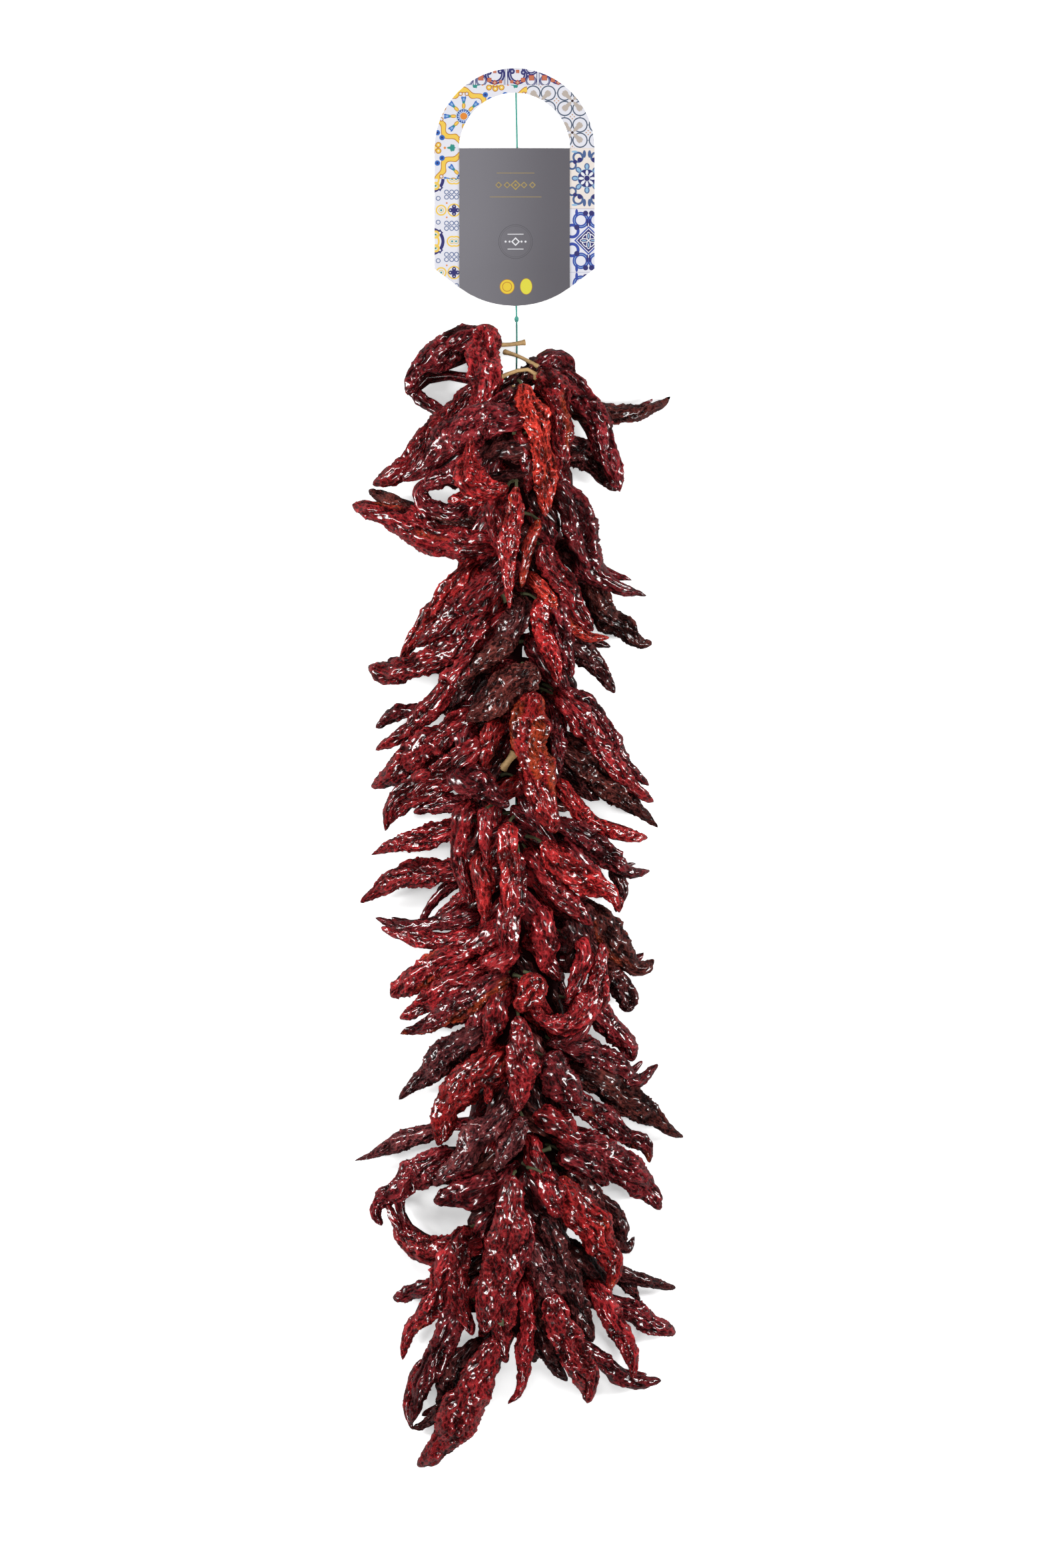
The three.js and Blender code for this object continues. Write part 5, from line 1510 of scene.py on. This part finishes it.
def scroll_tiles(nodes, place):
    """Navy scrolls with terracotta leaves, mirrored about pairs of thin lines."""
    art = Print(nodes, GLAZE)
    at = mirrored(nodes, place, (-10.4, 697), (64.0, 0))
    art.bar(at, (1.2, 0), (0.35, 20), NAVY)
    art.bar(at, (2.4, 0), (0.2, 20), BLUE_GREY)
    art.bar(at, (30.8, 0), (0.35, 20), NAVY)
    for centre, radius, width in (((11.5, 2.5), 8.2, 4.0), ((25.0, 9.0), 6.0, 3.2),
                                  ((25.0, -4.0), 4.6, 1.8)):
        art.ring(at, centre, radius, width, NAVY)
        art.ring(at, centre, radius - 0.1, width * 0.2, LILAC)
    art.bar(at, (11.5, 8.6), (4.2, 5.2), GLAZE)
    for centre, radius in (((6.0, 5.5), 2.8), ((17.2, 4.4), 2.6), ((22.0, 2.2), 2.2)):
        art.disc(at, centre, radius, NAVY)
        art.disc(at, centre, radius * 0.35, LILAC)
    for centre, half in (((17.0, -3.2), 2.2), ((25.5, -1.0), 2.7), ((5.6, -5.0), 1.6), ((11.5, 5.4), 1.7)):
        art.bar(at, centre, (half, half), BRICK)
        art.bar(at, centre, (half * 0.8, half * 0.8), TERRACOTTA)
    art.diamond(at, (11.5, -5.8), 2.9, BRICK)
    art.diamond(at, (11.5, -5.8), 1.5, SAND)
    art.bar(at, (16, -8.3), (40, 0.3), NAVY)
    return art.colour


def yellow_ring_tiles(nodes, place):
    """Navy crosses and arcs, thin yellow rings and faint lilac scrolls."""
    art = Print(nodes, GLAZE)
    at = mirrored(nodes, place, (-62.9, 562.8), (62.8, 62.8))
    for centre in ((7.6, 13.1), (2.4, 13.1), (7.6, 18.3), (2.4, 18.3), (16.0, 12.0)):
        art.ring(at, centre, 2.0, 0.8, BLUE_GREY)
    for centre in ((5.0, 15.7), (14.0, 20.0)):
        art.disc(at, centre, 0.8, BLUE_GREY)
    art.ring(at, (23.8, 31.4), 12.6, 3.2, NAVY)
    art.ring(at, (23.8, 31.4), 8.4, 1.8, YELLOW)
    art.diamond(at, (14.2, 22.6), 3.2, NAVY)
    art.disc(at, (14.2, 22.6), 1.0, WHITE)
    for centre, radius in (((2.0, 31.4), 4.8), ((13.0, 0), 4.8), ((18.6, 24.5), 3.4)):
        art.ring(at, centre, radius, 1.5, YELLOW)
        art.disc(at, centre, 1.0, TEAL)
        art.ring(at, centre, 2.3, 0.8, PALE_YELLOW)
    art.disc(at, (0, 0), 6.8, YELLOW)
    art.disc(at, (0, 0), 5.5, GLAZE)
    cross = spokes(nodes, at, 4)
    art.oval(cross, (3.2, 0), (2.6, 2.1), NAVY)
    art.disc(at, (0, 0), 1.9, NAVY)
    art.disc(cross, (3.9, 0), 0.6, GLAZE)
    art.disc(at, (7.4, 7.2), 0.9, ORANGE)
    return art.colour


def rosette_tiles(nodes, place):
    """A navy rosette with white petals and grey-blue scrolls on cream."""
    art = Print(nodes, CREAM)
    at = mirrored(nodes, place, (70.9, 594.9), (61.0, 61.0))
    around = spokes(nodes, at, 8)
    art.ring(at, (9.0, 21.2), 4.6, 2.2, BLUE_GREY)
    art.ring(at, (15.0, 13.2), 3.8, 2.0, BLUE_GREY)
    art.disc(at, (7.2, 18.6), 2.4, NAVY)
    art.disc(at, (12.0, 16.5), 2.0, NAVY)
    art.oval(at, (2.6, 24.5), (1.7, 3.8), BLUE_GREY)
    art.oval(at, (12.5, 26.8), (3.0, 1.1), LIGHT_BLUE)
    art.oval(around, (12.0, 0), (3.4, 2.7), BLUE_GREY)
    art.oval(around, (12.0, 0), (2.3, 1.5), LIGHT_BLUE)
    art.disc(at, (0, 0), 9.6, LIGHT_BLUE)
    art.disc(at, (0, 0), 9.0, NAVY)
    art.oval(around, (5.9, 0), (2.8, 1.6), BLUE_GREY)
    art.oval(around, (5.9, 0), (2.5, 1.35), WHITE)
    art.disc(at, (0, 0), 3.3, WHITE)
    art.disc(at, (0, 0), 2.8, NAVY)
    art.bar(at, (0, 30.5), (40, 0.2), SAND)
    return art.colour


def cobalt_tiles(nodes, place):
    """A white four-petal knot on navy, in bold cobalt scrolls."""
    art = Print(nodes, GLAZE)
    at = mirrored(nodes, place, (72.5, 532.3), (64.0, 64.0))
    petals = spokes(nodes, at, 4)
    art.ring(at, (7.8, 20.5), 6.6, 3.4, COBALT)
    art.ring(at, (7.8, 20.5), 6.6, 0.5, LIGHT_BLUE)
    art.ring(at, (16.5, 9.5), 6.0, 3.0, COBALT)
    art.disc(at, (11.8, 13.2), 2.7, NAVY)
    art.disc(at, (3.0, 27.5), 2.6, NAVY)
    art.oval(at, (12.0, 28.0), (1.4, 3.8), COBALT)
    art.oval(at, (1.2, 18.0), (0.9, 4.0), NAVY)
    art.diamond(at, (0, 0), 14.5, COBALT)
    art.diamond(at, (0, 0), 12.6, WHITE)
    art.diamond(at, (0, 0), 11.6, NAVY)
    art.ring(at, (0, 0), 6.6, 0.9, WHITE)
    art.oval(petals, (4.4, 0), (4.3, 2.2), WHITE)
    art.oval(petals, (4.4, 0), (3.5, 1.4), NAVY)
    art.oval(petals, (4.4, 0), (2.3, 0.6), LIGHT_BLUE)
    art.disc(at, (0, 0), 0.9, WHITE)
    art.bar(at, (0, 32), (40, 0.25), LILAC)
    return art.colour


# where each kind of tile starts, in millimetres: below these heights, and right of the middle line
TOP_TILES_FROM, TILES_MIDDLE = 688.9, 10.6
LEFT_LOWER_BELOW, RIGHT_MIDDLE_BELOW, RIGHT_LOWER_BELOW = 594.4, 625.3, 564.4


def painted_tiles(nodes, place):
    """Six kinds of tile, each in its own part of the arch."""
    x, y, _ = nodes.split(place)

    def below(limit):
        return nodes.math("LESS_THAN", y, limit)

    left = nodes.mix(
        below(LEFT_LOWER_BELOW), sunflower_tiles(nodes, place), yellow_ring_tiles(nodes, place))
    right = nodes.mix(
        below(RIGHT_MIDDLE_BELOW), quatrefoil_tiles(nodes, place), rosette_tiles(nodes, place))
    right = nodes.mix(below(RIGHT_LOWER_BELOW), right, cobalt_tiles(nodes, place))
    sides = nodes.mix(nodes.math("GREATER_THAN", x, TILES_MIDDLE), left, right)
    return nodes.mix(below(TOP_TILES_FROM), scroll_tiles(nodes, place), sides)


LABEL_SHADING = (-58, 54)  # painted shading: the label is lit at the first of these and shaded at the second
LABEL_MIDDLE, ORNAMENT_AT, EMBLEM_AT = -1, 588, 531  # middle line, and heights of what is printed on it
ORNAMENT_BEADS = (-18, -9.5, -1, 7.5, 16)
DISC_AT, OVAL_AT = (-9.5, 485.6), (9.7, 485.9)


def label_print(nodes, place):
    """Grey ground with painted shading, lit at the left and shaded at the right, with gold rules, a white
    ornament and two plain yellow seals.
    """
    across, _, _ = nodes.split(place)
    art = Print(nodes, nodes.mix(nodes.rise(across, *LABEL_SHADING), LABEL_LIT, LABEL_SHADED))
    for rise, reach in ((12, 19), (-12, 26)):
        art.bar(place, (LABEL_MIDDLE, ORNAMENT_AT + rise), (reach, 0.25), GOLD)
    for x in ORNAMENT_BEADS:
        outer, inner = (5.2, 3.6) if x == LABEL_MIDDLE else (3.4, 2.2)
        art.diamond(place, (x, ORNAMENT_AT), outer, GOLD)
        art.diamond(place, (x, ORNAMENT_AT), inner, GREY_INK)
    art.diamond(place, (LABEL_MIDDLE, ORNAMENT_AT), 1.6, GOLD)
    emblem = (LABEL_MIDDLE, EMBLEM_AT)
    art.ring(place, emblem, 17, 0.35, DARK_RULE)
    art.ring(place, emblem, 15.4, 0.2, DARK_RULE)
    for rise in (7.5, -7.5):
        art.bar(place, (LABEL_MIDDLE, EMBLEM_AT + rise), (8, 0.35), WHITE)
    art.diamond(place, emblem, 4.4, WHITE)
    art.diamond(place, emblem, 2.8, GREY_INK)
    for x in (-11, -7, 5, 9):
        art.disc(place, (x, EMBLEM_AT), 1.0, WHITE)
    art.disc(place, DISC_AT, 7.5, OCHRE)
    art.disc(place, DISC_AT, 7.0, SEAL_YELLOW)
    art.ring(place, DISC_AT, 4.6, 0.7, OCHRE)
    art.oval(place, OVAL_AT, (6.2, 8.2), OCHRE)
    art.oval(place, OVAL_AT, (5.8, 7.8), LEMON)
    return art.colour


def printed_card_material(name, design, stock, roughness):
    """A print on the face that looks up, bare card stock on the back and the cut edges."""
    material, nodes, shader = new_material(name, roughness=roughness, Specular_IOR_Level=0.3)
    place = nodes.object_place()
    millimetres = nodes.vector("MULTIPLY", place, (1 / MM, 1 / MM, 0))
    fibres = nodes.noise(place, 900, detail=3)
    _, _, upward = nodes.split(nodes.add("ShaderNodeNewGeometry").outputs["Normal"])
    face = nodes.math("GREATER_THAN", upward, 0.5)
    bare = nodes.mix(fibres, shade(stock, BARE_SHADE), stock)
    link(nodes, nodes.mix(face, bare, design(nodes, millimetres)), shader.inputs["Base Color"])
    link(nodes, nodes.bump(fibres, 0.05 * MM, 0.25), shader.inputs["Normal"])
    return material


class CHILLIES_OT_card(bpy.types.Operator):
    """Print the hang card and its grey label"""

    bl_idname = "chillies.card"
    bl_label = "Card"

    def execute(self, context):
        paint_solid("card", printed_card_material("painted tiles on card", painted_tiles, CARD_STOCK, 0.38))
        paint_solid("panel", printed_card_material("grey label", label_print, LABEL_STOCK, 0.5))
        return {"FINISHED"}


# ---- panel, registration and main -----------------------------------------------------------------

SETTINGS = {
    "chilli_stage": StageSettings,
    "chilli_twine": TwineSettings,
    "chilli_pods": PodSettings,
    "chilli_stems": StemSettings,
}
OPERATORS = (CHILLIES_OT_stage, CHILLIES_OT_twine, CHILLIES_OT_pods, CHILLIES_OT_core, CHILLIES_OT_stems,
             CHILLIES_OT_card)


class CHILLIES_PT_sidebar(bpy.types.Panel):
    """Lists the pieces of the string and their settings"""

    bl_idname = "CHILLIES_PT_sidebar"
    bl_label = "Dried chillies"
    bl_space_type = "VIEW_3D"
    bl_region_type = "UI"
    bl_category = "Chillies"

    def draw(self, context):
        layout = self.layout
        for operator in OPERATORS:
            layout.operator(operator.bl_idname)
        for name, group in SETTINGS.items():
            box = layout.box()
            box.label(text=group.__doc__)
            for setting in group.__annotations__:
                box.prop(getattr(context.scene, name), setting)


def register():
    for group in SETTINGS.values():
        bpy.utils.register_class(group)
    for operator in OPERATORS:
        bpy.utils.register_class(operator)
    bpy.utils.register_class(CHILLIES_PT_sidebar)
    for name, group in SETTINGS.items():
        setattr(bpy.types.Scene, name, bpy.props.PointerProperty(type=group))


def unregister():
    for name in SETTINGS:
        delattr(bpy.types.Scene, name)
    bpy.utils.unregister_class(CHILLIES_PT_sidebar)
    for operator in reversed(OPERATORS):
        bpy.utils.unregister_class(operator)
    for group in reversed(list(SETTINGS.values())):
        bpy.utils.unregister_class(group)


def main():
    register()
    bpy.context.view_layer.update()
    for operator in OPERATORS:
        group, name = operator.bl_idname.split(".")
        getattr(getattr(bpy.ops, group), name)()


if __name__ == "__main__":
    main()
